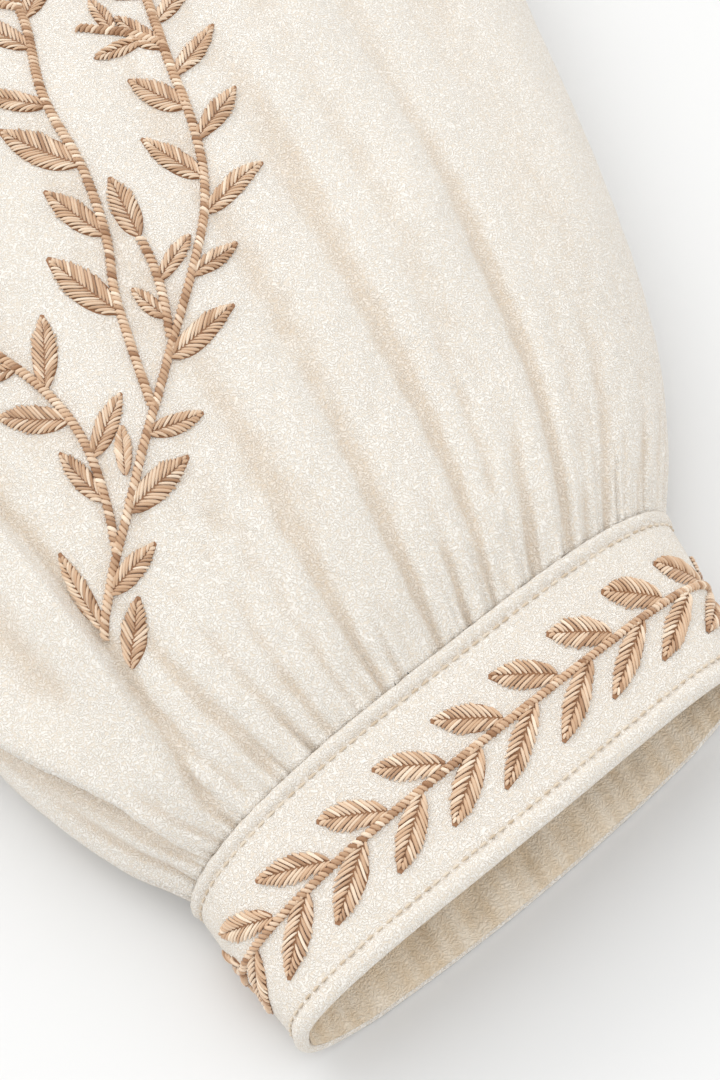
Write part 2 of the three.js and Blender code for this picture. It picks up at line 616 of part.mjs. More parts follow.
// ---- Assembly --------------------------------------------------------------------------------------------------
const blouse = new THREE.Group();
const add = (name, geometry, finish) => {
  const mesh = new THREE.Mesh(geometry, new THREE.MeshStandardMaterial(finish));
  mesh.name = name;
  blouse.add(mesh);
};

add("back", backPanel(), IVORY);
add("front_left", frontPanel(1), IVORY);
add("front_right", frontPanel(-1), IVORY);
add("collar", collarBand(), IVORY);
for (const [name, make, finish] of [
  ...SLEEVE_LENGTHS.map((length) => [length.name, () => sleeveWall(length), IVORY]),
  ["cuff", cuffWall, IVORY],
  ["cuff_facing", cuffFacing, FACING_BEIGE],
]) {
  const geometry = make();
  add(`${name}_left`, geometry, finish);
  add(`${name}_right`, mirrored(geometry), finish);
}
for (const i of range(BUTTON_COUNT)) {
  add(`button_${i + 1}`, button(lerp(FIRST_BUTTON, LAST_BUTTON, i / (BUTTON_COUNT - 1))), SHELL_WHITE);
}

// The origin is under the middle of the whole blouse.
const bounds = new THREE.Box3().setFromObject(blouse);
const middle = bounds.getCenter(new THREE.Vector3());
for (const mesh of blouse.children) mesh.geometry.translate(-middle.x, -middle.y, -bounds.min.z);

export default blouse;
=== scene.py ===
import math

import bpy
import numpy as np
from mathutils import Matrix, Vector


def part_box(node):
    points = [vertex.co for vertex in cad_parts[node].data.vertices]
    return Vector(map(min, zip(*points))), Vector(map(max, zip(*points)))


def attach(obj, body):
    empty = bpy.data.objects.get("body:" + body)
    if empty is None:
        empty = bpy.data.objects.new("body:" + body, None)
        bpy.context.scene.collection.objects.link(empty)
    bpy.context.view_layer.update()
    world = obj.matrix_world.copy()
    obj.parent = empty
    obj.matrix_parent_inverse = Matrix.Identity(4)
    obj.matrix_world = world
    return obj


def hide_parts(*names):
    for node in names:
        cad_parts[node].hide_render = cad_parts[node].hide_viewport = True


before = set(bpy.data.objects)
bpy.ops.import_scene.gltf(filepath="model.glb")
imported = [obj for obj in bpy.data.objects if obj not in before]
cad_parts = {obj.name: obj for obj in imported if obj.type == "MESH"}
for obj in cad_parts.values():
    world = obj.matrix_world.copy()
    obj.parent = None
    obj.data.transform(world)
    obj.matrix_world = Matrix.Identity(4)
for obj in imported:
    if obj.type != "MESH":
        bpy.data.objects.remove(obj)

# A mandarin collar blouse laid out flat, front up. Sizes are in millimetres and are turned into metres when a mesh
# is made. The layout has the shoulders near y = 0 and the hem at y = -640; SHIFT moves it to the frame's own origin.
for name in ("Cube", "Light", "Camera"):
    if name in bpy.data.objects:
        bpy.data.objects.remove(bpy.data.objects[name])
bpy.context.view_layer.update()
MM = 0.001
HEM_Y = -640.0
SHIFT = np.array([0.0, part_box("back")[0][1] * 1000 - HEM_Y, 0.0])
UP = np.array([0.0, 0.0, 1.0])
TABLE_CLEAR = 0.02  # Stitches stay this far above the table.
rng = np.random.default_rng(1152)

# ---- Small maths


def smooth(x):
    x = np.clip(x, 0, 1)
    return x * x * (3 - 2 * x)


def lerp(a, b, t):
    return a + (b - a) * t


def bell(x, width=1.0):
    return np.exp(-((x / width) ** 2))


def unit(v):
    return v / np.maximum(np.linalg.norm(v, axis=-1, keepdims=True), 1e-9)


def waves(x, y, size, seed, count=7):
    """Smooth noise of about +-1 from a few crossing waves."""
    r = np.random.default_rng(seed)
    total = 0
    for _ in range(count):
        turn, phase, k = r.uniform(0, 2 * math.pi), r.uniform(0, 2 * math.pi), r.uniform(0.6, 1.7) / size
        total = total + np.sin(2 * math.pi * k * (x * math.cos(turn) + y * math.sin(turn)) + phase)
    return total / math.sqrt(count) * 0.8


def draws(count, *ranges):
    """Rows of random numbers, with a column for each range."""
    return np.stack([rng.uniform(low, high, count) for low, high in ranges], 1)


def run_of(line):
    """How far along a line each of its points lies."""
    return np.concatenate([[0], np.cumsum(np.linalg.norm(np.diff(line, axis=0), axis=1))])


def on_line(at, run, line):
    """Points of a line at distances along it."""
    return np.stack([np.interp(at, run, line[:, k]) for k in range(line.shape[1])], -1)


def spline(rows, count):
    """A smooth line through the rows of a table, by Catmull-Rom, evenly spaced."""
    p = np.array(rows, float)
    p = np.concatenate([[2 * p[0] - p[1]], p, [2 * p[-1] - p[-2]]])
    t = np.linspace(0, 1, 24, endpoint=False)[:, None]
    line = [
        0.5 * (2 * b + (c - a) * t + (2 * a - 5 * b + 4 * c - d) * t**2 + (3 * b - a - 3 * c + d) * t**3)
        for a, b, c, d in zip(p[:-3], p[1:-2], p[2:-1], p[3:])
    ]
    line = np.concatenate(line + [p[-2:-1]])
    run = run_of(line)
    return on_line(np.linspace(0, run[-1], count), run, line)


# ---- Meshes


def make_mesh(name, points, polygons, material, attributes, mirror=False):
    """A smooth mesh from points in the layout and arrays of polygons, mirrored to the other side if asked."""
    points = np.asarray(points, float).reshape(-1, 3) + SHIFT
    if mirror:
        points = points * [-1, 1, 1]
        polygons = [p[:, ::-1] for p in polygons]
    mesh = bpy.data.meshes.new(name)
    mesh.vertices.add(len(points))
    mesh.vertices.foreach_set("co", (points * MM).ravel())
    loops = np.concatenate([p.ravel() for p in polygons]).astype(np.int32)
    totals = np.concatenate([np.full(len(p), p.shape[1]) for p in polygons])
    mesh.loops.add(len(loops))
    mesh.loops.foreach_set("vertex_index", loops)
    mesh.polygons.add(len(totals))
    mesh.polygons.foreach_set("loop_start", np.concatenate([[0], np.cumsum(totals)[:-1]]).astype(np.int32))
    mesh.update(calc_edges=True)
    mesh.validate()
    mesh.polygons.foreach_set("use_smooth", np.ones(len(mesh.polygons), bool))
    for key, values in attributes.items():
        mesh.attributes.new(key, "FLOAT", "POINT").data.foreach_set("value", np.asarray(values, np.float32).ravel())
    mesh.materials.append(material)
    piece = bpy.data.objects.new(name, mesh)
    bpy.context.scene.collection.objects.link(piece)
    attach(piece, "root")
    return piece


def grid_faces(rows, columns, closed=False):
    """Quads of a grid of rows by columns, its columns joined round if closed."""
    r = np.arange(rows - 1)[:, None] * columns
    c = np.arange(columns if closed else columns - 1)[None]
    n = (c + 1) % columns
    return np.stack([r + c, r + n, r + columns + n, r + columns + c], -1).reshape(-1, 4)


def threads(paths, normals, radius, sides, taper, tone):
    """Closed round threads along many paths at once. paths and normals are stitches by steps by 3."""
    count, steps, _ = paths.shape
    along = unit(np.gradient(paths, axis=1))
    side = unit(np.cross(along, normals))
    up = np.cross(side, along)
    t = np.linspace(0, 1, steps)
    girth = np.interp(t, [0, 0.5 / steps, 1 - 0.5 / steps, 1], [taper, 1, 1, taper])
    r = (np.broadcast_to(np.reshape(radius, (-1, 1)), (count, 1)) * girth)[:, :, None, None]
    turn = (2 * math.pi * np.arange(sides) / sides)[:, None]
    ring = np.cos(turn) * side[:, :, None] + np.sin(turn) * up[:, :, None]
    points = (paths[:, :, None] + r * ring).reshape(-1, 3)
    first = (np.arange(count) * steps * sides)[:, None, None]
    quads = (first + grid_faces(steps, sides, True)[None]).reshape(-1, 4)
    start = (first[:, 0] + np.arange(sides)[None])[:, ::-1]
    end = first[:, 0] + (steps - 1) * sides + np.arange(sides)[None]
    return points, quads[:, ::-1], [start, end], np.repeat(tone, steps * sides)


def join_threads(name, batches, material, mirror=False):
    """One mesh from batches of threads."""
    points, by_size, offset = [], {}, 0
    for p, quads, caps, _ in batches:
        for polygons in (quads, *caps):
            by_size.setdefault(polygons.shape[1], []).append(polygons + offset)
        points.append(np.maximum(p, [-np.inf, -np.inf, TABLE_CLEAR]))
        offset += len(p)
    polygons = [np.concatenate(p) for p in by_size.values()]
    tones = np.concatenate([batch[3] for batch in batches])
    return make_mesh(name, np.concatenate(points), polygons, material, {"tone": tones}, mirror)


# ---- Sizes shared with the solids
SHOULDER_TIP = np.array([200.0, -58.0])
UNDERARM = np.array([262.0, -235.0])
ARM_RUN = SHOULDER_TIP - UNDERARM
ARM_LONG = float(np.hypot(*ARM_RUN))
ARMHOLE_BOW = 10.0
CLOTH = 1.5  # How thick it is.
LAYER = 1.8  # How high each layer lifts the next.
BODY_LOFT = 3.5
ARMHOLE_LOFT = 7.0
ARMHOLE_AT = 460.0
CAP_HEIGHT = LAYER + ARMHOLE_LOFT + CLOTH
# Sections of the sleeve: mm up it, the way it runs and the way across it in degrees, half width, height, height of
# the fold at its sides, and how square it is.
KEYS = ("along", "heading", "across", "half", "height", "fold", "square")
SECTIONS = np.array([
    (0, 62.5, 48.75, 54.2, 29.2, 8.0, 3.15),
    (12, 62.5, 49.3, 62.5, 35.0, 9.0, 2.8),
    (30, 62.0, 50.5, 70.5, 40.0, 10.0, 2.5),
    (60, 61.0, 52.0, 78.5, 43.0, 12.0, 2.4),
    (100, 59.0, 53.5, 87.0, 44.0, 13.0, 2.3),
    (150, 56.5, 55.0, 98.5, 42.0, 13.0, 2.3),
    (210, 53.5, 53.5, 104.0, 36.0, 11.0, 2.3),
    (290, 47.0, 43.0, 101.0, 25.0, 8.0, 2.4),
    (370, 38.0, 15.0, 95.0, 16.5, 5.2, 2.5),
    (425, 31.0, -9.0, 93.5, 12.0, 4.8, 2.5),
    (ARMHOLE_AT, 28.0, math.degrees(math.atan2(*ARM_RUN)), ARM_LONG / 2, CAP_HEIGHT, CAP_HEIGHT / 2, 2.6),
])

# Creases of the gathers: place at the seam (0 underarm edge, 1 outer edge), place at the upper end, depth, reach up
# the sleeve, width as a share of the upper side at the seam.
CREASES = (
    (0.036, 0.046, 2.2, 46, 0.012),
    (0.070, 0.074, 1.3, 20, 0.010),
    (0.114, 0.122, 1.5, 24, 0.009),
    (0.150, 0.176, 1.8, 34, 0.010),
    (0.190, 0.194, 1.3, 48, 0.007),
    (0.235, 0.236, 2.3, 62, 0.009),
    (0.288, 0.282, 1.8, 44, 0.010),
    (0.318, 0.334, 1.7, 44, 0.008),
    (0.373, 0.360, 1.4, 68, 0.014),
    (0.408, 0.438, 2.2, 90, 0.010),
    (0.460, 0.462, 1.3, 18, 0.011),
    (0.505, 0.516, 2.4, 105, 0.010),
    (0.556, 0.570, 2.0, 36, 0.010),
    (0.602, 0.596, 2.4, 135, 0.010),
    (0.636, 0.658, 1.2, 96, 0.007),
    (0.670, 0.698, 2.3, 36, 0.011),
    (0.735, 0.744, 2.8, 180, 0.009),
    (0.776, 0.790, 1.3, 100, 0.012),
    (0.812, 0.830, 2.0, 48, 0.011),
    (0.845, 0.852, 1.0, 28, 0.009),
    (0.884, 0.900, 1.7, 28, 0.012),
    (0.926, 0.936, 1.1, 28, 0.011),
    (0.964, 0.966, 1.0, 24, 0.012),
)
# Mm across the sleeve for a place from 0 to 1.
SLEEVE_SPAN = 200.0
# Long folds of the sleeve: from place, along, to place, along, rise, width.
SLEEVE_FOLDS = (
    (0.050, 8, 0.080, 90, 2.2, 8),
    (0.120, 22, 0.122, 88, -2.0, 6),
    (0.335, 36, 0.330, 130, 2.0, 10),
    (0.470, 16, 0.474, 150, 2.4, 9),
    (0.556, 34, 0.562, 150, 1.9, 6),
    (0.632, 14, 0.630, 160, 1.8, 6),
    (0.700, 32, 0.702, 190, 2.4, 8),
    (0.766, 24, 0.768, 170, 1.0, 6),
    (0.880, 30, 0.900, 180, 1.8, 9),
    (0.865, 180, 0.730, 330, 3.2, 14),
    (0.540, 205, 0.600, 385, 2.8, 15),
    (0.240, 150, 0.200, 280, 3.0, 13),
    (0.010, 300, 0.340, 372, 3.6, 10),
    (0.020, 350, 0.400, 418, 3.0, 9),
)
# Long folds of the fronts: from x, y, to x, y, rise, width.
BODY_FOLDS = (
    (-128, -60, -112, -300, 3.0, 17),
    (140, -70, 98, -330, 3.4, 18),
    (226, -250, 120, -372, 3.8, 13),
    (-232, -262, -140, -352, 3.4, 12),
    (-176, -390, -200, -660, 4.4, 17),
    (-88, -420, -98, -660, 3.6, 15),
    (76, -440, 70, -660, 3.2, 14),
    (158, -370, 186, -660, 4.8, 18),
)


def fold_rise(folds, x, y, span=1.0):
    """How high the folds of a table stand at places, with x stretched by span."""
    rise = 0
    for x0, y0, x1, y1, height, width in folds:
        rx, ry = (x1 - x0) * span, y1 - y0
        dx, dy = (x - x0) * span, y - y0
        share = np.clip((dx * rx + dy * ry) / (rx * rx + ry * ry), 0, 1)
        off = np.hypot(dx - share * rx, dy - share * ry)
        rise = rise + height * bell(off, width) * smooth(share * 4) * smooth((1 - share) * 3)
    return rise


def column(at, name):
    """A column of SECTIONS at a distance up the sleeve, by a cubic through its rows."""
    x, y = SECTIONS[:, 0], SECTIONS[:, KEYS.index(name)]
    last = len(x) - 1
    i = int(np.clip(np.searchsorted(x, at, side="right") - 1, 0, last - 1))

    def slope(j):
        a, b = max(0, j - 1), min(last, j + 1)
        return (y[b] - y[a]) / (x[b] - x[a])

    span = x[i + 1] - x[i]
    t = min(1, max(0, (at - x[i]) / span))
    rise = (y[i + 1] - y[i]) * t * t * (3 - 2 * t)
    return y[i] + rise + span * (slope(i) * t * (1 - t) ** 2 - slope(i + 1) * t * t * (1 - t))


def section(along):
    return {key: column(along, key) for key in KEYS[1:]}


def sleeve_centre(along):
    """The middle of the sleeve, followed down from the armhole in short steps."""
    centre = (SHOULDER_TIP + UNDERARM) / 2
    steps = max(1, math.ceil((ARMHOLE_AT - along) / 5))
    step = (ARMHOLE_AT - along) / steps
    for i in range(steps):
        heading = math.radians(column(ARMHOLE_AT - (i + 0.5) * step, "heading"))
        centre = centre + step * np.array([math.cos(heading), -math.sin(heading)])
    return centre


def axes_of(angle):
    a = math.radians(angle)
    return np.array([math.sin(a), math.cos(a)]), np.array([math.cos(a), -math.sin(a)])


SECTION_STEPS = 400


def section_ring(s):
    """A section as rows of across, height, stop: 0 to 0.5 over the top and on to 1 below."""
    turn = math.pi * np.arange(SECTION_STEPS + 1) / SECTION_STEPS
    lift, cosine = np.abs(np.sin(turn)), np.cos(turn)
    x = -s["half"] * np.sign(cosine) * np.abs(cosine) ** (2 / s["square"])
    top = s["fold"] + (s["height"] - s["fold"]) * lift
    low = s["fold"] * (1 - np.minimum(1, 1.12 * np.sqrt(lift)))

    def shares(z):
        step = np.hypot(np.diff(x), np.diff(z))
        return np.concatenate([[0], np.cumsum(step)]) / step.sum()

    above = np.stack([x, top, shares(top) / 2], 1)
    below = np.stack([x, low, 1 - shares(low) / 2], 1)[::-1][1:-1]
    return np.concatenate([above, below])


def on_section(ring, stops, out):
    """Points of a section at stops, moved out of its face: across and height."""
    wide = np.concatenate([ring[-8:] - [0, 0, 1], ring, ring[:8] + [0, 0, 1]])
    x, z = (np.interp(stops, wide[:, 2], wide[:, k]) for k in (0, 1))
    dx, dz = (np.interp(stops, wide[:, 2], np.gradient(wide[:, k])) for k in (0, 1))
    long = np.hypot(dx, dz)
    return x - dz / long * out, np.maximum(0, z + dx / long * out)


# ---- Sleeve
PUCKER_COUNT = 64
# Short tucks at the seam: place, depth, reach, width.
PUCKERS = draws(PUCKER_COUNT, (0.1, 0.9), (0.5, 1.25), (8, 27), (0.004, 0.007))
PUCKERS[:, 0] = (np.arange(PUCKER_COUNT) + PUCKERS[:, 0]) / PUCKER_COUNT
# Faint creases of worn cloth: place, along, lean across its length, length, depth, width in mm.
WRINKLES = draws(70, (0.03, 0.97), (10, 430), (-0.05, 0.05), (18, 70), (-0.45, 0.4), (1.6, 4.2))
# Folds that lie over the cloth beside them: the line of the edge as (along, place), how far it stands up, and 1 if
# the fold's body is on its underarm side, or -1.
OVERLAPS = (
    {"edge": ((0, 0.122), (10, 0.158), (20, 0.178), (32, 0.191), (48, 0.196), (92, 0.184)), "rise": 3.4, "body": 1},
    {"edge": ((0, 0.086), (14, 0.096), (24, 0.083), (34, 0.060), (44, 0.036), (60, 0.020)), "rise": 3.0, "body": -1},
)
OVERLAP_STEP = 0.010
# Where up the sleeve its folds begin to die out, over how many mm, and how many gathers run underneath.
CALM_FROM, CALM_OVER = 350, 110
UNDER_GATHERS = 36


def overlap_at(fold, share, along):
    """How far across a fold's edge a place is, in steps with the body below 0, and how much the fold stands there."""
    edge = np.array(fold["edge"], float)
    start, end = edge[0, 0], edge[-1, 0]
    lift = float(np.interp((along - start) / (end - start), [0, 0.14, 0.4, 0.75, 1], [0, 0.65, 1.0, 0.7, 0]))
    return fold["body"] * (share - np.interp(along, edge[:, 0], edge[:, 1])) / OVERLAP_STEP, lift


def sleeve_rise(stops, along):
    """How far the gathers and folds stand out of the section at stops."""
    share = stops * 2
    level = np.full_like(share, along)
    onset = lerp(0.72, 1, smooth(along / 6))
    edge = np.clip(np.sin(math.pi * np.clip(share, 0, 1)), 0, 1) ** 0.4
    rise = fold_rise(SLEEVE_FOLDS, share, level, SLEEVE_SPAN) * edge
    for place, end, depth, reach, width in CREASES:
        x = (share - lerp(place, end, min(1, along / reach))) / (width * (1 + along / 60))
        rise = rise - depth * onset * (1 - smooth(along / reach)) * np.exp(-(np.sqrt(x * x + 0.05) ** 1.45))
    for place, depth, reach, width in PUCKERS:
        rise = rise - depth * (1 - smooth(along / reach)) * bell(share - place, width)
    for place, start, lean, long, depth, width in WRINKLES:
        t = (along - start) / long
        if 0 < t < 1:
            rise = rise + depth * math.sin(math.pi * t) * bell((share - place - lean * t) * SLEEVE_SPAN, width)
    for fold in OVERLAPS:
        x, lift = overlap_at(fold, share, along)
        beside = 0.5 * (1 + np.tanh(x * 2.4))
        body = np.where(x < 0, bell(x, 5.5), 1)
        valley = -0.4 * bell(np.maximum(x, 0), 2.6)
        rise = rise + fold["rise"] * lift * (body * (1 - beside) + valley * beside)
    # Loose waves of the cloth, and its rise out of the seam.
    rise = rise + 0.28 * waves(share * 190, level * 0.55, 26, 5) * edge
    rise = rise + (0.1 + 0.16 * math.exp(-along / 35)) * waves(share * 190, level * 0.7, 7, 6) * edge
    rise = rise + 0.4 * edge * bell(along, 1.6)
    # The underside's gathers only press in, so that it stays on the table.
    gather = 0.5 - 0.5 * np.cos((stops - 0.5) * 2 * UNDER_GATHERS * math.pi)
    under = -0.9 * onset * gather * (1 - smooth(along / 60)) - 0.25 * (1 + waves(share * 150, level, 30, 9))
    return np.where(stops <= 0.5, rise, np.minimum(under, 0)) * (1 - smooth((along - CALM_FROM) / CALM_OVER))


def sleeve_row(along, stops, rise, gap=0.0):
    """Points round the sleeve at a distance up it. Near the armhole the row bows to follow the seam."""
    s = section(along)
    across, outward = axes_of(s["across"])
    x, z = on_section(section_ring(s), stops, rise)
    near = smooth((along - (ARMHOLE_AT - 110)) / 110)
    out = gap - ARMHOLE_BOW * near * (1 - (x / s["half"]) ** 2)
    plan = sleeve_centre(along) + across * x[:, None] + outward * out[:, None]
    return np.concatenate([plan, z[:, None]], 1)


TOP_STOPS = 236
LOW_STOPS = 44
SLEEVE_STOPS = np.concatenate([np.arange(TOP_STOPS) / TOP_STOPS * 0.5, 0.5 + np.arange(LOW_STOPS) / LOW_STOPS * 0.5])
SLEEVE_ALONGS = np.concatenate([
    np.linspace(0.35, 10, 14, endpoint=False),
    np.linspace(10, 160, 118, endpoint=False),
    np.linspace(160, 452, 49, endpoint=False),
    [452, 455.5, 458, ARMHOLE_AT],
])


def sleeve_grid():
    """Points of the sleeve's outer face, rows up the sleeve by stops round it, and each point's rise."""
    rises = np.array([sleeve_rise(SLEEVE_STOPS, a) for a in SLEEVE_ALONGS])
    gaps = np.where(SLEEVE_ALONGS == ARMHOLE_AT, 0.3, 0.0)
    rows = np.array([sleeve_row(a, SLEEVE_STOPS, r, g) for a, r, g in zip(SLEEVE_ALONGS, rises, gaps)])
    # Each overlapping fold leans over the cloth beside it.
    around = unit(np.gradient(rows, axis=1))
    for fold in OVERLAPS:
        leans = []
        for along in SLEEVE_ALONGS:
            x, lift = overlap_at(fold, SLEEVE_STOPS * 2, along)
            leans.append(fold["body"] * 1.5 * lift * bell(x + 0.4, 1.4))
        rows = rows + around * np.where(SLEEVE_STOPS < 0.5, leans, 0)[:, :, None]
    return rows, rises


def blurred(values, rows, columns):
    """A cheap blur of a grid, closed round its columns."""
    for _ in range(3):
        sums = np.cumsum(np.pad(values, ((0, 0), (columns, columns)), "wrap"), axis=1)
        values = (sums[:, 2 * columns:] - sums[:, :-2 * columns]) / (2 * columns)
        sums = np.cumsum(np.pad(values, ((rows, rows), (0, 0)), "edge"), axis=0)
        values = (sums[2 * rows:] - sums[:-2 * rows]) / (2 * rows)
    return values


def ring_normals(rows):
    """Normals of a grid that is closed round its columns."""
    return unit(np.cross(np.roll(rows, -1, 1) - np.roll(rows, 1, 1), np.gradient(rows, axis=0)))


def outward_normals(rows):
    """Normals of such a grid that all point away from its middle."""
    normal = ring_normals(rows)
    return normal * np.sign(np.sum(normal * (rows - rows.mean(1, keepdims=True)), 2, keepdims=True))


SLEEVE_GRID, SLEEVE_RISES = sleeve_grid()
SLEEVE_NORMALS = ring_normals(SLEEVE_GRID)
# How deep each point lies below the cloth round it, and the armhole seam: both get painted shade, the warm tint of
# the crepe's valleys.
SLEEVE_VALLEY_SHADE = np.clip((blurred(SLEEVE_RISES, 2, 4) - SLEEVE_RISES) / 0.75, -1, 1)
SLEEVE_VALLEY_SHADE = np.maximum(SLEEVE_VALLEY_SHADE, bell(ARMHOLE_AT - SLEEVE_ALONGS, 2.4)[:, None])
TOP_WIDTH = np.linalg.norm(np.diff(SLEEVE_GRID[:, :TOP_STOPS + 1], axis=1), axis=2).sum(1)


def bilinear(grid, row, col):
    """A grid's values between its points, closed round its columns."""
    r = np.clip(np.floor(row).astype(int), 0, grid.shape[0] - 2)
    c = np.floor(col).astype(int)
    down, right = np.clip(row - r, 0, 1)[..., None], (col - c)[..., None]
    c, n = c % grid.shape[1], (c + 1) % grid.shape[1]
    upper = grid[r, c] * (1 - down) * (1 - right) + grid[r, n] * (1 - down) * right
    return upper + grid[r + 1, c] * down * (1 - right) + grid[r + 1, n] * down * right


def on_sleeve(place, along):
    """Points and normals of the sleeve's upper side."""
    row = np.interp(along, SLEEVE_ALONGS, np.arange(len(SLEEVE_ALONGS)))
    col = np.asarray(place) * TOP_STOPS
    return bilinear(SLEEVE_GRID, row, col), unit(bilinear(SLEEVE_NORMALS, row, col))


# ---- Cuff
CUFF_DEPTH, CUFF_SLIDE = 31.7, -7.5
CUFF_OPENING = {"half": 49.8, "height": 26.1, "fold": 12.8}
CUFF_CENTRE = sleeve_centre(0)
TOP_BOW, UNDER_BOW = 1.6, 3.0
CUFF_ROUND, FACE_ROWS, FACE_OUT = 340, 33, 0.15
EVEN_STOPS = np.arange(CUFF_ROUND) / CUFF_ROUND
CUFF_STOPS = EVEN_STOPS - np.sin(4 * math.pi * EVEN_STOPS) / (10 * math.pi)
# Profile of the band from inside the seam edge, over its face, round the rolled opening and in: depth, stand-out.
CUFF_PROFILE = (
    (1.6, -1.35), (0.7, -1.2), (0.1, -0.75), (0.0, -0.2), (0.2, 0.25), (0.6, 0.5), (1.1, 0.58), (1.6, 0.46),
    (2.0, 0.2), (2.25, -0.06), (2.5, -0.16), (2.8, -0.16), (3.2, -0.04), (4.2, 0.06), (6.5, 0.14),
    (9.0, 0.2), (13.0, 0.24), (17.0, 0.24), (21.0, 0.2), (25.0, 0.12), (27.0, 0.04), (27.9, -0.06),
    (28.3, -0.16), (28.6, -0.16), (28.85, -0.02), (29.1, 0.24), (29.5, 0.5), (30.1, 0.62), (30.7, 0.54),
    (31.2, 0.28), (31.55, -0.1), (31.72, -0.6), (31.65, -1.15), (31.35, -1.65), (30.9, -2.05),
    (30.3, -2.28), (29.8, -2.32), (29.6, -2.0),
)
FACING_PROFILE = tuple((30.3 - 30.1 * t, -1.7 - 0.05 * math.sin(9 * t)) for t in np.linspace(0, 1, 30))


def cuff_row(deep, stops, out):
    """Points round the band at a depth below the seam, moved out of its plain face."""
    share = deep / CUFF_DEPTH
    s = section(0)
    for key, end in CUFF_OPENING.items():
        s[key] = lerp(s[key], end, share)
    across, outward = axes_of(s["across"])
    x, z = on_section(section_ring(s), stops, out)
    bow = np.where(stops < 0.5, TOP_BOW, UNDER_BOW) * share * np.clip(1 - (x / s["half"]) ** 2, 0, 1)
    plan = CUFF_CENTRE + across * (x + CUFF_SLIDE * share)[:, None] + outward * (deep + bow)[:, None]
    return np.concatenate([plan, z[:, None]], 1)


FACE_DEPTHS = np.linspace(0, CUFF_DEPTH, FACE_ROWS)
CUFF_FACE = np.array([cuff_row(d, EVEN_STOPS, np.full(CUFF_ROUND, FACE_OUT)) for d in FACE_DEPTHS])
# Lengths round the band are measured along its middle.
MIDDLE_RUN = run_of(np.concatenate([CUFF_FACE[FACE_ROWS // 2], CUFF_FACE[FACE_ROWS // 2, :1]]))
CUFF_ROUND_MM = float(MIDDLE_RUN[-1])


def cuff_surface(deep, stop):
    """Points and normals of the band's face at many places."""
    def at(d, s):
        return bilinear(CUFF_FACE, np.interp(d, FACE_DEPTHS, np.arange(FACE_ROWS)), (s % 1) * CUFF_ROUND)

    deep, stop = np.broadcast_arrays(deep, stop)
    ahead = at(deep, stop + 1e-3) - at(deep, stop - 1e-3)
    up = at(np.maximum(deep - 0.5, 0), stop) - at(deep + 0.5, stop)
    return at(deep, stop), unit(np.cross(ahead, up))


def on_cuff_mm(u, v):
    """The cuff's face by u mm round it and v mm down from the seam."""
    return cuff_surface(v, np.interp(u % CUFF_ROUND_MM, MIDDLE_RUN, np.arange(CUFF_ROUND + 1) / CUFF_ROUND))


# ---- Materials
CREPE = (0.965, 0.922, 0.862, 1)
BAND_CREPE = (0.93, 0.884, 0.822, 1)
CREPE_VALLEY_SHADE = (0.77, 0.63, 0.485, 1)
CREPE_PIT_SHADE, CREPE_CRESTS = (0.832, 0.775, 0.70, 1), (1.0, 1.0, 1.0, 1)
FACING_DARK, FACING_LIGHT = (0.82, 0.675, 0.50, 1), (0.93, 0.835, 0.705, 1)
SHELL_DARK, SHELL_LIGHT = (0.72, 0.66, 0.56, 1), (0.86, 0.82, 0.74, 1)
# Dark, middle and light thread tones. The dark one is also the painted shade of the dark sheets under the stitches.
LEAF_TONES = ((0.33, 0.165, 0.08, 1), (0.67, 0.45, 0.29, 1), (0.92, 0.765, 0.60, 1))
SEWING_TONES = ((0.53, 0.41, 0.28, 1), (0.70, 0.585, 0.45, 1), (0.82, 0.74, 0.62, 1))
RELIEF = 0.0004


def new_material(name, **settings):
    """A material, its tree and its shader, with the settings on the shader's own sockets."""
    material = bpy.data.materials.new(name)
    material.use_nodes = True
    shader = material.node_tree.nodes["Principled BSDF"]
    for key, value in settings.items():
        shader.inputs[key.replace("_", " ")].default_value = value
    return material, material.node_tree, shader


def feed(tree, sockets):
    """Set each socket to its value, or link it to the socket that takes the value's place."""
    for socket, value in sockets:
        if isinstance(value, bpy.types.NodeSocket):
            tree.links.new(value, socket)
        else:
            socket.default_value = value


def node(tree, kind, output, **inputs):
    """An output of a new node."""
    made = tree.nodes.new("ShaderNode" + kind)
    feed(tree, [(made.inputs[key], value) for key, value in inputs.items()])
    return made.outputs[output]


def maths(tree, operation, a, b):
    made = tree.nodes.new("ShaderNodeMath")
    made.operation = operation
    feed(tree, zip(made.inputs, (a, b)))
    return made.outputs[0]


def blend(tree, factor, a, b, mode="MIX"):
    made = tree.nodes.new("ShaderNodeMix")
    made.data_type = "RGBA"
    made.blend_type = mode
    feed(tree, ((made.inputs[0], factor), (made.inputs[6], a), (made.inputs[7], b)))
    return made.outputs[2]


def remap(tree, value, low, high, to_low=0.0, to_high=1.0):
    made = tree.nodes.new("ShaderNodeMapRange")
    feed(tree, zip(made.inputs, (value, low, high, to_low, to_high)))
    return made.outputs[0]


def attribute(tree, name):
    made = tree.nodes.new("ShaderNodeAttribute")
    made.attribute_name = name
    return made.outputs["Fac"]


def coordinates(tree, scale=(1, 1, 1)):
    """Object coordinates in mm, stretched."""
    where = node(tree, "TexCoord", "Object")
    return node(tree, "Mapping", 0, Scale=[1000 * s for s in scale], Vector=where)


def curl(tree, at, scale, levels):
    """Curling threads: waves drawn along the levels of a soft noise."""
    soft = node(tree, "TexNoise", "Fac", Scale=scale, Detail=1.0, Roughness=0.4, Vector=at)
    return maths(tree, "SINE", maths(tree, "MULTIPLY", soft, levels), 0.0)


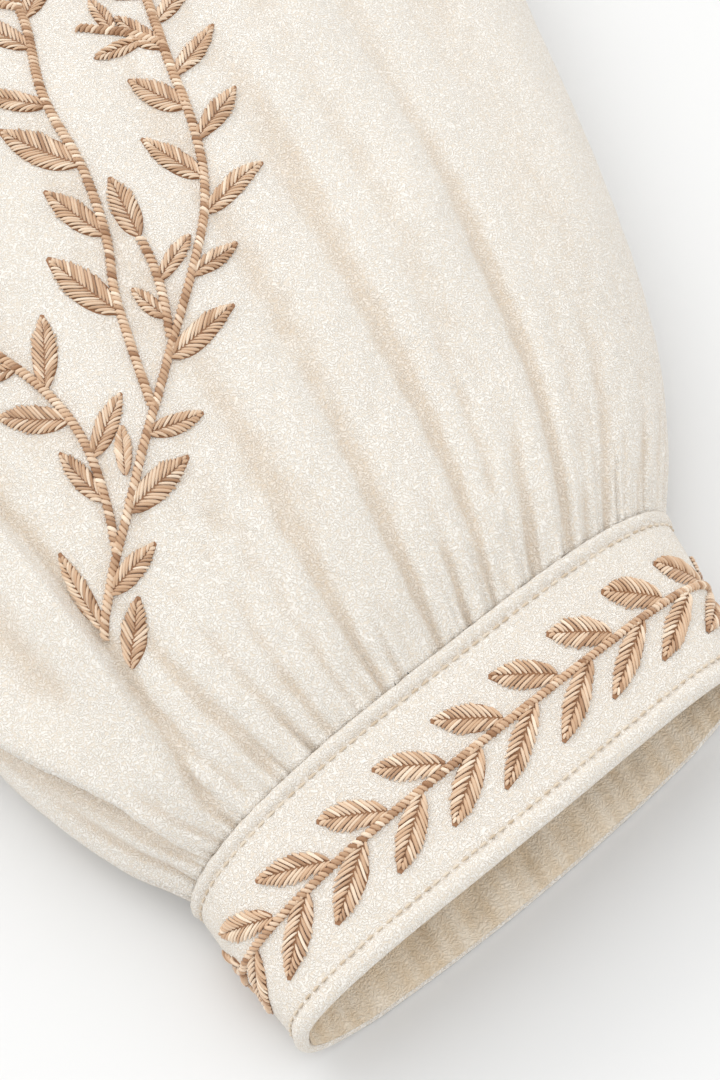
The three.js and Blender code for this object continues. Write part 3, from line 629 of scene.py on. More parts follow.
def crepe_material(name, tint, grain):
    """Matt crepe: a fine pebbled grain in the light, with painted shade in the grain's pits and a painted warm shade
    in the valleys that the valley attribute marks.
    """
    material, tree, shader = new_material(
        name, Roughness=0.88, Specular_IOR_Level=0.18, Sheen_Weight=0.16, Sheen_Roughness=0.5,
        Sheen_Tint=(1, 0.96, 0.9, 1),
    )
    at = coordinates(tree)
    fine = node(tree, "TexNoise", "Fac", Scale=2.8, Detail=2.0, Roughness=0.6, Vector=at)
    broad = node(tree, "TexNoise", "Fac", Scale=0.035, Detail=3.0, Vector=at)
    height = maths(tree, "ADD", maths(tree, "MULTIPLY", curl(tree, at, 1.75, 21.5), 0.42), fine)
    bump = node(tree, "Bump", 0, Strength=0.66 * grain, Distance=RELIEF, Height=height)
    # Painted shade: the valley attribute blends the tint towards a warmer, darker tan in creases, grooves and seams.
    valley = remap(tree, attribute(tree, "valley"), 0.04, 0.85)
    tint_with_valley_shade = blend(tree, maths(tree, "MULTIPLY", valley, 0.46), tint, CREPE_VALLEY_SHADE)
    # Painted shade: the low points of the grain's relief are tinted darker, and the high ones keep the tint.
    pit_shade = blend(tree, remap(tree, height, -0.02, 0.66), CREPE_PIT_SHADE, CREPE_CRESTS)
    mottle = remap(tree, broad, 0.3, 0.7, 0.98, 1.01)
    grey = node(tree, "CombineColor", 0, Red=mottle, Green=mottle, Blue=mottle)
    shaded_tint = blend(tree, 1.0, tint_with_valley_shade, pit_shade, "MULTIPLY")
    color = blend(tree, 1.0, shaded_tint, grey, "MULTIPLY")
    feed(tree, ((shader.inputs["Base Color"], color), (shader.inputs["Normal"], bump)))
    return material


def facing_material():
    """Brushed beige facing, mottled, with painted shade of soft ribs that its shape does not have."""
    material, tree, shader = new_material(
        "facing", Roughness=0.95, Specular_IOR_Level=0.1, Sheen_Weight=0.35, Sheen_Roughness=0.45,
        Sheen_Tint=(1, 0.93, 0.8, 1),
    )
    at = coordinates(tree)
    patch = node(tree, "TexNoise", "Fac", Scale=0.16, Detail=2.5, Roughness=0.55, Vector=at)
    nap = curl(tree, at, 1.1, 24.0)
    shade = maths(tree, "ADD", remap(tree, patch, 0.34, 0.66, 0.2, 0.8), maths(tree, "MULTIPLY", nap, 0.12))
    # Painted shade of the ribs: darker and lighter bands round the facing.
    shade = maths(tree, "ADD", shade, maths(tree, "MULTIPLY", attribute(tree, "rib_shade"), 0.24))
    color = blend(tree, shade, FACING_DARK, FACING_LIGHT)
    bump = node(tree, "Bump", 0, Strength=0.3, Distance=RELIEF, Height=nap)
    feed(tree, ((shader.inputs["Base Color"], color), (shader.inputs["Normal"], bump)))
    return material


def thread_material(name, dark, middle, light):
    """Satin thread: a soft lustre and a tone that changes from stitch to stitch. Its dark end is also painted shade
    under leaves and stems, and one half of each leaf is painted lighter.
    """
    material, tree, shader = new_material(
        name, Roughness=0.5, Specular_IOR_Level=0.35, Sheen_Weight=0.3, Sheen_Roughness=0.35
    )
    tone = attribute(tree, "tone")
    lower = blend(tree, remap(tree, tone, -1, 0), dark, middle)
    tree.links.new(blend(tree, remap(tree, tone, 0, 1), lower, light), shader.inputs["Base Color"])
    return material


def shell_material():
    """Shell buttons, a warm white with clouded bands."""
    material, tree, shader = new_material("shell", Roughness=0.28, Specular_IOR_Level=0.5, Coat_Weight=0.3)
    cloud = node(tree, "TexNoise", "Fac", Scale=1.4, Detail=3.0, Vector=coordinates(tree, (0.3, 0.12, 0.3)))
    color = blend(tree, remap(tree, cloud, 0.35, 0.65), SHELL_DARK, SHELL_LIGHT)
    tree.links.new(color, shader.inputs["Base Color"])
    return material


crepe = crepe_material("crepe", CREPE, 1.0)
band_crepe = crepe_material("band_crepe", BAND_CREPE, 0.95)
facing = facing_material()
shell = shell_material()
leaf_thread = thread_material("leaf_thread", *LEAF_TONES)
sewing_thread = thread_material("sewing_thread", *SEWING_TONES)

# ---- Sleeves and cuffs
# How far each stop of the cuff lies underneath, and how far round it in mm.
UNDERNEATH = np.sqrt(np.clip(-np.sin(2 * math.pi * CUFF_STOPS), 0, 1))
CUFF_RUN = CUFF_STOPS * CUFF_ROUND_MM
# How many ribs have their shade painted round the facing.
FACING_RIBS = 64
# Topstitching: depth below the seam and the seed of its draws.
CUFF_STITCHES = ((2.75, 3), (28.25, 4))
CUFF_STITCH_PITCH = 2.1


def sleeve_cloth(side, mirror):
    """The whole sleeve, with a row that leads in under the cuff's rolled edge."""
    tuck = SLEEVE_GRID[0] - SLEEVE_NORMALS[0] * 1.1 + (CUFF_FACE[3].mean(0) - CUFF_FACE[0].mean(0)) * 0.3
    tuck[:, 2] = np.maximum(tuck[:, 2], 0.05)
    rows = np.concatenate([tuck[None], SLEEVE_GRID])
    # The valley attribute carries painted shade.
    valley = np.concatenate([SLEEVE_VALLEY_SHADE[:1], SLEEVE_VALLEY_SHADE])
    faces = grid_faces(*rows.shape[:2], True)
    piece = make_mesh(f"sleeve_{side}_cloth", rows, [faces], crepe, {"valley": valley}, mirror)
    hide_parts(f"sleeve_{side}", f"sleeve_middle_{side}", f"sleeve_cap_{side}")
    return piece


def cuff_band(side, mirror):
    """The band, which puckers beside its topstitching. Underneath, its turned edge is thin."""
    rows = np.array([
        cuff_row(d, CUFF_STOPS, o + np.minimum(o + 0.6, 0) * -0.6 * UNDERNEATH) for d, o in CUFF_PROFILE
    ])
    deep, out = (np.array(values)[:, None] for values in zip(*CUFF_PROFILE))
    face = np.where(out > -0.5, 1.0, 0.0)
    ripple = 0.10 * waves(CUFF_RUN, 0, 5.5, 21) * bell(deep - 1.5, 2)
    ripple = ripple + 0.13 * waves(CUFF_RUN, 0, 6.5, 22) * bell(deep - 30, 2.5)
    ripple = ripple + 0.10 * waves(CUFF_RUN, deep * 1.6, 17, 23) * bell(deep - 16, 12)
    rows = rows + outward_normals(rows) * (ripple * face)[:, :, None]
    rows[:, :, 2] = np.maximum(rows[:, :, 2], 0.0)
    grooves = bell(deep - 2.6, 0.4) + bell(deep - 28.45, 0.4)
    # Painted shade in the grooves beside the topstitching.
    valley = np.broadcast_to(0.36 * grooves * face, rows.shape[:2])
    faces = grid_faces(*rows.shape[:2], True)[:, ::-1]
    piece = make_mesh(f"cuff_{side}_band", rows, [faces], band_crepe, {"valley": valley}, mirror)
    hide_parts(f"cuff_{side}")
    return piece


def cuff_lining(side, mirror):
    """The facing, soft, with painted shade of faint ribs. Underneath, it comes out almost to the rim."""
    deep = np.array([d for d, _ in FACING_PROFILE])[:, None]
    near = np.exp((deep - deep[0]) / 2)
    rows = np.array([
        cuff_row(d + e[0], CUFF_STOPS, o + 0.8 * e * UNDERNEATH) for (d, o), e in zip(FACING_PROFILE, near)
    ])
    soft = 0.42 * waves(CUFF_RUN, deep * 0.3, 7, 31) + 0.16 * waves(CUFF_RUN, deep * 0.8, 12, 32)
    rows = rows - outward_normals(rows) * (0.35 + soft * np.minimum(1, (30.5 - deep) / 4))[:, :, None]
    rows[:, :, 2] = np.maximum(rows[:, :, 2], 1.2)
    # Painted shade of faint ribs: bands round the facing that tint its colour.
    rib_shade = np.sin(CUFF_RUN * 2 * math.pi * FACING_RIBS / CUFF_ROUND_MM + 1.2 * waves(CUFF_RUN, 0, 23, 33))
    faces = grid_faces(*rows.shape[:2], True)[:, ::-1]
    attributes = {"rib_shade": np.broadcast_to(rib_shade, rows.shape[:2])}
    piece = make_mesh(f"cuff_{side}_lining", rows, [faces], facing, attributes, mirror)
    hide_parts(f"cuff_facing_{side}")
    return piece


def cuff_stitches(side, mirror):
    """Topstitching beside both rolled edges."""
    batches = []
    count = int(CUFF_ROUND_MM / CUFF_STITCH_PITCH)
    spread = np.linspace(-0.68, 0.68, 5)
    lift = -0.08 - 0.25 * (spread / 0.72) ** 2
    for deep, seed in CUFF_STITCHES:
        r = np.random.default_rng(seed)
        middles = (np.arange(count) + r.uniform(-0.05, 0.05, count)) * CUFF_ROUND_MM / count
        points, normals = on_cuff_mm(middles[:, None] + spread, deep)
        paths = points + normals * lift[:, None]
        batches.append(threads(paths, normals, 0.22, 6, 0.5, r.uniform(-0.6, 0.6, count)))
    return join_threads(f"cuff_{side}_topstitch", batches, sewing_thread, mirror)


# ---- Embroidery


def leaf_half_width(t, width):
    """Half the width of a leaf at a share of its length: widest before the middle, with a pointed tip."""
    t = np.clip(t, 0, 1)
    return width / 2 * np.sin(math.pi * t**0.82) ** 0.85 * (1 - 0.12 * t)


def leaf_stitches(length, width, count, r, bend):
    """A leaf in its own plane, x along its vein and y across: paths of satin stitches slanting from the vein."""
    paths, tones, radii = [], [], []
    steps = np.linspace(0, 1, 6)
    for side in (-1, 1):
        for i in range(count):
            t = (i + (0.5 if side > 0 else 0.15) + r.uniform(-0.14, 0.14)) / count
            start = length * lerp(0.0, 0.9, t)
            reach = float(leaf_half_width(start / length + 0.11, width)) * r.uniform(0.93, 1.1)
            end = min(length * (1.0 + 0.02 * side), start + 0.7 + reach * 0.95)
            x = lerp(start, end, steps) + 0.35 * steps * (1 - steps)
            y = side * (0.12 + reach * steps**0.9) + bend * length * (x / length) ** 2
            paths.append(np.stack([x, y], 1))
            # Random tones, with the stitches of one half of the leaf painted a little lighter, as if lit.
            tones.append(np.clip(r.normal(0.3 if side > 0 else 0.1, 0.42), -0.75, 1))
            radii.append(r.uniform(0.25, 0.34))
    return np.array(paths), np.array(tones), np.array(radii)


def place_flat(place, root, angle, paths, lift):
    """Put paths drawn in a plane onto a surface: root (u, v) in mm, angle of the x axis, lift over the face."""
    c, s = math.cos(angle), math.sin(angle)
    u = root[0] + paths[..., 0] * c - paths[..., 1] * s
    v = root[1] + paths[..., 0] * s + paths[..., 1] * c
    points, normals = place(u, v)
    return points + normals * lift[..., None], normals


def leaf_shade_bed(place, root, angle, length, width, bend):
    """A dark sheet, a little raised, under a leaf's stitches: painted shade that shows in the gaps between them."""
    t, y = np.meshgrid(np.linspace(0.02, 0.97, 11), np.linspace(-1, 1, 5), indexing="ij")
    flat = np.stack([t * length, y * (leaf_half_width(t, width) + 0.12) + bend * length * t**2], 2)
    points, _ = place_flat(place, root, angle, flat, 0.04 + 0.22 * (1 - y * y))
    # Tone -1 is the thread's darkest tone, the painted shade between stitches.
    return points.reshape(-1, 3), grid_faces(11, 5), [], np.full(55, -1.0)


def leaf_on(place, root, angle, length, width, r, count=12, bend=0.0, sides=4):
    """A leaf's dark sheet of painted shade and its stitches, which swell over the padding and dive at the vein and
    the edge.
    """
    paths, tones, radii = leaf_stitches(length, width, count, r, bend)
    s = np.linspace(0, 1, 6)
    lift = 0.05 + 0.52 * np.sin(math.pi * np.clip(s * 0.86 + 0.1, 0, 1)) ** 0.8
    points, normals = place_flat(place, root, angle, paths, lift)
    return [leaf_shade_bed(place, root, angle, length, width, bend), threads(points, normals, radii, sides, 0.55, tones)]


ROPE_PITCH = 0.92


def rope_on(place, line, r, width, radius, start=0):
    """A rope stitch along a line of (u, v): short slanting strands laid over each other on a dark core thread,
    painted shade that shows between them.
    """
    run = run_of(line)
    count = max(3, int(run[-1] / ROPE_PITCH))
    middles = (np.arange(count) + 0.5) * run[-1] / count + r.uniform(-0.07, 0.07, count)
    s = np.linspace(-1, 1, 5)
    at = np.clip(middles[:, None] + s * 0.55, 0, run[-1])
    ahead, behind = (on_line(np.clip(middles + step, 0, run[-1]), run, line) for step in (0.5, -0.5))
    across = unit((ahead - behind)[:, ::-1] * [-1, 1])[:, None] * (s * (width / 2 - radius * 0.6))[:, None]
    lifts = 0.1 + 0.58 * np.sqrt(np.clip(1 - s * s, 0, 1))
    points, normals = place_flat(place, (0, 0), 0, on_line(at, run, line) + across, lifts)
    tones = np.clip(r.normal(0.02, 0.5, count), -0.9, 1)
    radii = radius * r.uniform(0.9, 1.12, count)
    core = on_line(np.linspace(start, run[-1], max(4, int(run[-1] / 2))), run, line)[None]
    bed, bed_normals = place_flat(place, (0, 0), 0, core, np.array([0.05]))
    keep = middles >= start
    return [
        threads(points[keep], normals[keep], radii[keep], 5, 0.45, tones[keep]),
        # The dark core at tone -1 is painted shade between the strands.
        threads(bed, bed_normals, width * 0.36, 6, 0.5, [-1.0]),
    ]


# The cuff's vine, in mm and degrees: where its stem runs, its leaves' spacing, where the first ones stand, how far
# the lower leaf of a pair stands behind the upper one, their lean, size and distance from the stem's middle.
CUFF_VINE = {
    "middle": 15.6, "pitch": 12.4, "first": 0.9, "behind": 6.0, "angle": 34,
    "length": 13.6, "width": 4.7, "offset": 0.5,
}


def cuff_vine(side, mirror):
    r = np.random.default_rng(71)
    v = CUFF_VINE
    count = round(CUFF_ROUND_MM / v["pitch"])
    pitch = CUFF_ROUND_MM / count
    u = np.linspace(0, CUFF_ROUND_MM, 400)
    stem = np.stack([u, v["middle"] + 0.35 * np.sin(u / 31) + 0.25 * np.sin(u / 13 + 1)], 1)
    batches = rope_on(on_cuff_mm, stem, r, 1.8, 0.39)
    for i in range(count):
        at = v["first"] + i * pitch + r.uniform(-0.3, 0.3)
        for up in (-1, 1):
            turn = math.radians(v["angle"] + 1.5 * up + r.uniform(-2.5, 2.5))
            root = (at - (v["behind"] if up > 0 else 0), v["middle"] + up * v["offset"])
            long, wide = (v["length"] + 0.8 * up) * r.uniform(0.95, 1.05), v["width"] * r.uniform(0.93, 1.08)
            # The leaves lean back towards the band's underarm end.
            batches += leaf_on(on_cuff_mm, root, math.pi - up * turn, long, wide, r, 13, up * 0.03, 5)
    return join_threads(f"cuff_{side}_vine", batches, leaf_thread, mirror)


# Stems of the sleeve's vine: (place, along) rows, the gap between its leaves in mm, where its first leaf stands and
# on which side, the size of its leaves, the length of the leaf that ends it, the side and the mm between which it has
# no leaves, and the mm left off its start.
SLEEVE_STEMS = (
    (((0.186, 33), (0.24, 41), (0.305, 50), (0.362, 59), (0.414, 68), (0.468, 77), (0.515, 88), (0.542, 100),
      (0.562, 118), (0.588, 140), (0.60, 165), (0.575, 195), (0.56, 225), (0.59, 255), (0.615, 285)),
     7.0, 5.0, 1, 1.0, 12.5, (1, 9, 84), 3.4),
    (((0.366, 60), (0.380, 70), (0.398, 82), (0.421, 92), (0.440, 106), (0.452, 124), (0.486, 145), (0.49, 168),
      (0.46, 192), (0.45, 215)),
     7.4, 19.0, 1, 1.18, 13.0, (-1, 0, 78), 0),
    (((0.417, 69), (0.432, 76), (0.441, 82), (0.445, 88)), 7.0, 4.0, 1, 0.68, 14.0, (0, 0, 0), 0),
    (((0.262, 44), (0.284, 53), (0.298, 63), (0.296, 74), (0.280, 86), (0.262, 100)),
     7.0, 9.0, 1, 1.0, 12.5, (-1, 0, 12), 0),
    (((0.566, 121), (0.548, 127), (0.530, 131), (0.514, 134)), 6.0, 4.0, 1, 0.7, 0, (0, 0, 0), 0),
    (((0.60, 165), (0.655, 182), (0.69, 200), (0.70, 222), (0.69, 245)), 7.6, 9.0, 1, 0.9, 11.0, (0, 0, 0), 0),
    (((0.486, 145), (0.43, 160), (0.375, 178), (0.345, 200), (0.345, 222)), 7.6, 9.0, 1, 0.9, 11.0, (0, 0, 0), 0),
)
# Leaves on no stem: place, along, the way it points in degrees, length and width in mm.
LOOSE_LEAVES = ((0.203, 28.5, 38, 13.0, 4.8), (0.310, 53.1, 58, 8.8, 2.9))
SLEEVE_U = float(np.interp(80, SLEEVE_ALONGS, TOP_WIDTH))


def on_sleeve_mm(u, v):
    """The sleeve's upper side by u mm across it, as wide as where v is 80, and v mm up from the seam."""
    return on_sleeve(u / SLEEVE_U, v)


def sleeve_vine(side, mirror):
    r = np.random.default_rng(83)
    stems, leaves = [], []
    for rows, gap, first, flip, size, tip, (bare_side, bare_from, bare_to), start in SLEEVE_STEMS:
        line = spline([(u * SLEEVE_U, v) for u, v in rows], 240)
        stems += rope_on(on_sleeve_mm, line, r, 2.05, 0.41, start)
        run = run_of(line)
        way = np.unwrap(np.arctan2(np.gradient(line[:, 1]), np.gradient(line[:, 0])))
        at = first
        while at < run[-1] - 3:
            angle = np.interp(at, run, way) + math.radians(r.uniform(34, 56)) * flip
            long = size * r.uniform(11.0, 15.5)
            wide = long * r.uniform(0.27, 0.35)
            if not (flip == bare_side and bare_from < at < bare_to):
                root, bend = on_line(at, run, line), -flip * r.uniform(0.03, 0.12)
                leaves += leaf_on(on_sleeve_mm, root, angle, long, wide, r, max(8, round(long)), bend)
            flip = -flip
            at += gap * r.uniform(0.9, 1.1)
        if tip:
            leaves += leaf_on(on_sleeve_mm, line[-1], way[-1], tip, tip * 0.33, r, 13)
    for place, along, turn, long, wide in LOOSE_LEAVES:
        leaves += leaf_on(on_sleeve_mm, (place * SLEEVE_U, along), math.radians(turn), long, wide, r)
    return join_threads(f"sleeve_{side}_vine", stems + leaves, leaf_thread, mirror)


# ---- Body
WAIST, HEM_SIDE = np.array([250.0, -400.0]), np.array([284.0, -634.0])
LAP_HALF, LAP_FLAT, LAP_EASE = 13.0, 16.0, 22.0
NECK_CENTRE, NECK_HALF, NECK_FRONT, NECK_BACK, SHOULDER_ANGLE = -38.0, 78.0, 42.0, 26.0, 30.0
BAND_WIDTH, BAND_EDGE_STITCH, HEM_STITCH = 25.0, 1.8, 15.5
FRONT_ROWS, FRONT_COLUMNS = 170, 110
SIDE_ROWS = 9
# How the edge of a sheet turns down, row by row: mm out, mm down.
EDGE_TURN = ((0.35, 0.2), (0.5, 0.7), (0.35, 1.2), (-0.6, 1.45))


def neck_point(angle, out=0.0):
    """A point of the neck seam, moved out of it. Its angle is 0 at the side, 90 behind and -90 in front."""
    turn = math.radians(angle)
    deep = NECK_FRONT if math.sin(turn) < 0 else NECK_BACK
    x, y = NECK_HALF * math.cos(turn), deep * math.sin(turn)
    nx, ny = x / NECK_HALF**2, y / deep**2
    long = math.hypot(nx, ny)
    return np.array([x + nx / long * out, NECK_CENTRE + y + ny / long * out])


def neck_angle(x):
    """The angle at which the front of the neck seam passes x."""
    return -90 + math.degrees(math.asin(x / NECK_HALF))


def armhole(share):
    bow = ARMHOLE_BOW * (1 - (2 * share - 1) ** 2)
    return UNDERARM + ARM_RUN * share + np.array([-ARM_RUN[1], ARM_RUN[0]]) / ARM_LONG * bow


def side_seam(share):
    return (1 - share) ** 2 * HEM_SIDE + 2 * share * (1 - share) * WAIST + share**2 * UNDERARM


ARM_BELOW = (0, 0.11, 0.22, 0.33)
NECK_ANGLES = (neck_angle(LAP_HALF), neck_angle(LAP_FLAT + LAP_EASE), -45, -27, -8, 11, SHOULDER_ANGLE)
NECK_ARMS = [lerp(ARM_BELOW[-1], 1, i / len(NECK_ANGLES)) for i in range(len(NECK_ANGLES) + 1)]


def front_rows():
    """Rows as centre edge x, y, outer edge x, y, place up the armhole."""
    underarm_row, neck_bottom = UNDERARM[1] + 12, neck_point(-90)[1]
    shares = [i / SIDE_ROWS for i in range(SIDE_ROWS)]
    rows = [(0, lerp(HEM_Y, underarm_row, share), *side_seam(share), 0) for share in shares]
    rows += [(0, lerp(underarm_row, neck_bottom, a / ARM_BELOW[-1]), *armhole(a), a) for a in ARM_BELOW]
    rows += [(*neck_point(n), *armhole(a), a) for n, a in zip(NECK_ANGLES, NECK_ARMS[1:])]
    return np.array(rows, float)


def front_height(side, x, y, share, arm):
    """How high a front's underside lies. The right front climbs over the left one."""
    edge = np.maximum(share**6, np.clip(arm * 2 - 1, 0, 1) ** 4)
    arm_lift = ARMHOLE_LOFT * (1 - np.abs(2 * arm - 1) ** 4)
    loft = BODY_LOFT + fold_rise(BODY_FOLDS, x, y)
    climb = LAYER * np.clip((x + LAP_FLAT + LAP_EASE) / LAP_EASE, 0, 1) if side < 0 else 0
    return LAYER + np.maximum(0, loft * (1 - edge) + arm_lift * edge) + climb


def front_grid(side):
    """Points of a front's face, rows up it by columns out from its centre edge, and the painted shade of its grooves,
    hollows and armhole seam.
    """
    rows = front_rows()
    fine = np.linspace(0, len(rows) - 1, FRONT_ROWS)
    inner_x, inner_y, outer_x, outer_y, arm = on_line(fine, np.arange(len(rows)), rows).T[:, :, None]
    edge = np.where(inner_x > 0, inner_x, -LAP_HALF)
    long = np.hypot(outer_x - edge, outer_y - inner_y)
    near = np.concatenate([np.linspace(0, 30, 26), np.linspace(32, 52, 10)])
    shares = [np.concatenate([near / w, np.linspace(56 / w, 1, FRONT_COLUMNS - len(near))]) for w in long[:, 0]]
    shares = np.array(shares)
    x = side * lerp(edge, outer_x, shares)
    y = lerp(inner_y, outer_y, shares)
    from_edge, from_seam = np.abs(side * x - edge), (1 - shares) * long
    below, beside = arm < ARM_BELOW[-1] + 0.01, (arm > 0) & (arm < 0.99)
    z = front_height(side, x, y, shares, arm) + CLOTH
    # The button bands: a folded facing stands a little above the cloth, with a groove at its stitching.
    groove = 0.45 * bell(from_edge - BAND_WIDTH, 0.7) + 0.3 * bell(from_edge - BAND_EDGE_STITCH, 0.5)
    z = z + 0.35 * smooth((BAND_WIDTH + 0.5 - from_edge) / 1.2) * below - groove * below
    soft = 0.55 * waves(x, y * 0.55, 46, 41 + side) + 0.16 * waves(x, y * 0.7, 15, 44 + side)
    soft = soft * smooth(shares * long / 40 - 0.6) * smooth((1 - shares) * 6)
    z = z + np.where(soft > 0, soft, soft * 0.6)
    # Small tucks run in from the armhole seam, which draws the cloth down.
    z = z + 0.2 * bell(from_seam, 16) * np.sin(y / 4.2 + 1.5 * np.sin(y / 11)) * beside
    seam = bell(from_seam, 1.8) * beside
    z = z - 0.5 * seam
    from_hem = y - HEM_Y
    z = z + 0.35 * smooth(HEM_STITCH + 0.5 - from_hem) - 0.3 * bell(from_hem - HEM_STITCH, 0.7)
    z = z + 0.4 * fold_rise(BODY_FOLDS, x, y) * smooth((from_edge - 30) / 16) * smooth((from_seam - 6) / 14)
    # Painted shade: the band's grooves, the hollows of the soft waves and the armhole seam are tinted darker in the
    # valley attribute.
    valley = np.clip(groove * 0.9 * below + np.clip(-soft, 0, 1) * 0.3 + 0.7 * seam, 0, 1)
    return np.stack([x, y, z], 2), valley


FRONTS = {side: front_grid(side) for side in (1, -1)}


def turned_edges(grid, valley):
    """Round the sheet's edges down by a few rows, so that it ends in a fold and not a raw line."""
    def turned(edge, back):
        away = unit((edge - back) * [1, 1, 0])
        return [edge + away * out - [0, 0, down] for out, down in EDGE_TURN]

    for axis in (0, 1):
        g, v = np.moveaxis(grid, axis, 0), np.moveaxis(valley, axis, 0)
        g = np.concatenate([turned(g[0], g[1])[::-1], g, turned(g[-1], g[-2])])
        v = np.pad(v, ((len(EDGE_TURN), len(EDGE_TURN)), (0, 0)), "edge")
        grid, valley = np.moveaxis(g, 0, axis), np.moveaxis(v, 0, axis)
    return grid, valley


def front_cloth(name, side):
    grid, valley = turned_edges(*FRONTS[side])
    faces = grid_faces(*grid.shape[:2])
    piece = make_mesh(f"{name}_cloth", grid, [faces if side > 0 else faces[:, ::-1]], crepe, {"valley": valley})
    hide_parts(name)
    return piece


def back_cloth():
    """The back lies flat: its face shows behind the neck and at the hem's ends."""
    rows = front_rows()
    fine = np.linspace(0, len(rows) - 1, 120)
    outer = on_line(fine, np.arange(len(rows)), rows[:, 2:4])
    # Rows run across the back from side to side, and the last ones follow the back of the neck.
    middle = np.where(fine < SIDE_ROWS, lerp(HEM_Y, UNDERARM[1], fine / SIDE_ROWS), outer[:, 1])
    share = np.linspace(-1, 1, 121)
    sides = np.stack([outer[:, :1] * share, lerp(middle[:, None], outer[:, 1:], np.abs(share))], 2)
    neck = np.array([neck_point(a) for a in np.linspace(180 - SHOULDER_ANGLE, SHOULDER_ANGLE, 121)])
    plan = np.concatenate([sides, lerp(sides[-1], neck, np.linspace(0, 1, 26)[1:, None, None])])
    z = CLOTH + 0.12 * waves(plan[..., 0], plan[..., 1], 40, 51)
    grid = np.concatenate([plan, z[..., None]], 2)
    piece = make_mesh("back_cloth", grid, [grid_faces(*z.shape)], crepe, {"valley": np.zeros(z.shape)})
    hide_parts("back")
    return piece


# ---- Collar
COLLAR_HEIGHT, COLLAR_LEAN, COLLAR_GAP, COLLAR_CORNER = 32.0, 10.0, 3.0, 15.0
COLLAR_SEAMS = (0.92, 0.075)  # Shares of its height where it is topstitched.
# Angles and sides round the collar, from one front end to the other.
HALF_ROUND = [*np.linspace(neck_angle(COLLAR_GAP / 2), -70, 34), *np.linspace(-68.5, 90, 90)]
COLLAR_SECTIONS = [(a, 1) for a in HALF_ROUND] + [(a, -1) for a in HALF_ROUND[-2::-1]]
# Section of the collar: share of its height and place through its thickness, with a rolled top edge and a groove
# where the topstitching pulls it in. Its inner half mirrors its outer one.
COLLAR_FACE = [
    (0.0, 0.9), (0.0, 0.3), (0.01, 0.02), (0.04, 0.0), (0.075, 0.12), (0.11, 0.0),
    *((s, 0.0) for s in np.linspace(0.16, 0.84, 16)),
    (0.89, 0.0), (0.92, 0.14), (0.95, 0.0), (0.975, 0.05), (0.993, 0.35), (1.0, 0.8),
]
COLLAR_PROFILE = COLLAR_FACE + [(s, 2 - out) for s, out in COLLAR_FACE[::-1]]


def neck_base(angle, side):
    """How high the cloth lies that the collar stands on."""
    x, y = neck_point(angle)
    arm = float(np.interp(angle, [-90, *NECK_ANGLES], NECK_ARMS))
    on_front = float(front_height(side, side * x, y, 0, arm)) + LAYER
    over = LAYER * min(1, max(0, (LAP_HALF + 3 - x) / 2)) if side > 0 else 0
    behind = float(smooth((angle - SHOULDER_ANGLE - 1) / 14))
    return lerp(on_front + (over if angle < 0 else 0), LAYER, behind)


def collar_point(angle, side, share, out):
    """A point of the collar. Its front ends are rounded and keep their gap."""
    from_end = neck_point(angle)[0] - COLLAR_GAP / 2 if angle < 0 else COLLAR_CORNER
    short = COLLAR_CORNER - math.sqrt(max(0, COLLAR_CORNER**2 - max(0, COLLAR_CORNER - from_end) ** 2))
    up = share * (COLLAR_HEIGHT - short)
    px, py = neck_point(angle, out - up * math.tan(math.radians(COLLAR_LEAN)))
    if angle < -88:
        px = max(COLLAR_GAP / 2, px)
    return [side * px, py, neck_base(angle, side) + up]


def collar_cloth():
    total, count = len(COLLAR_SECTIONS), len(COLLAR_PROFILE)
    rows = []
    for i, (angle, side) in enumerate(COLLAR_SECTIONS):
        # The ends are pressed flat.
        squash = (0.15, 0.6, 0.88, 1.0)[min(3, i, total - 1 - i)]
        rows.append([collar_point(angle, side, s, 1 + (out - 1) * squash) for s, out in COLLAR_PROFILE])
    grid = np.array(rows)
    run = np.arange(total)[:, None] * 2.0
    shares = np.array([s for s, _ in COLLAR_PROFILE])
    wave = 0.22 * waves(run, shares * 30, 24, 61) + 0.12 * waves(run, shares * 12, 9, 62)
    wave = wave * smooth(shares * 5) * smooth((1 - shares) * 8)
    grid = grid + unit((grid - grid.mean((0, 1))) * [1, 1, 0]) * wave[:, :, None]
    grooves = np.abs(shares[:, None] - COLLAR_SEAMS).min(1) < 0.01
    # Painted shade at the grooves of the topstitching.
    valley = np.broadcast_to(np.where(grooves, 0.45, 0.0), grid.shape[:2])
    first_end = np.arange(count)[None]
    polygons = [grid_faces(total, count, True)[:, ::-1], first_end, (total - 1) * count + first_end[:, ::-1]]
    piece = make_mesh("collar_cloth", grid, polygons, band_crepe, {"valley": valley})
    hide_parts("collar")
    return piece


# ---- Stitches, buttons and buttonholes
BUTTON_COUNT = 7
BUTTON_YS = [lerp(-96.0, -560.0, i / (BUTTON_COUNT - 1)) for i in range(BUTTON_COUNT)]
BUTTON_BASE, BUTTON_THICK, HOLE_SPREAD = 8.9, 2.2, 1.6
BUTTONHOLE_LONG, BUTTONHOLE_STITCHES = 16, 34


def stitch_line(line, normals, r, pitch, high, low):
    """A line of stitches along points that lie on a face, high in their middle and low at their ends."""
    run = run_of(line)
    count = max(2, int(run[-1] / pitch))
    middles = (np.arange(count) + 0.5) * run[-1] / count + r.uniform(-0.06, 0.06, count)
    s = np.linspace(-1, 1, 5)
    at = middles[:, None] + s * pitch * 0.37
    normals = unit(on_line(at, run, normals))
    paths = on_line(at, run, line) + normals * (high - (high - low) * s**2)[:, None]
    return threads(paths, normals, 0.26, 4, 0.5, r.uniform(-0.6, 0.6, count))


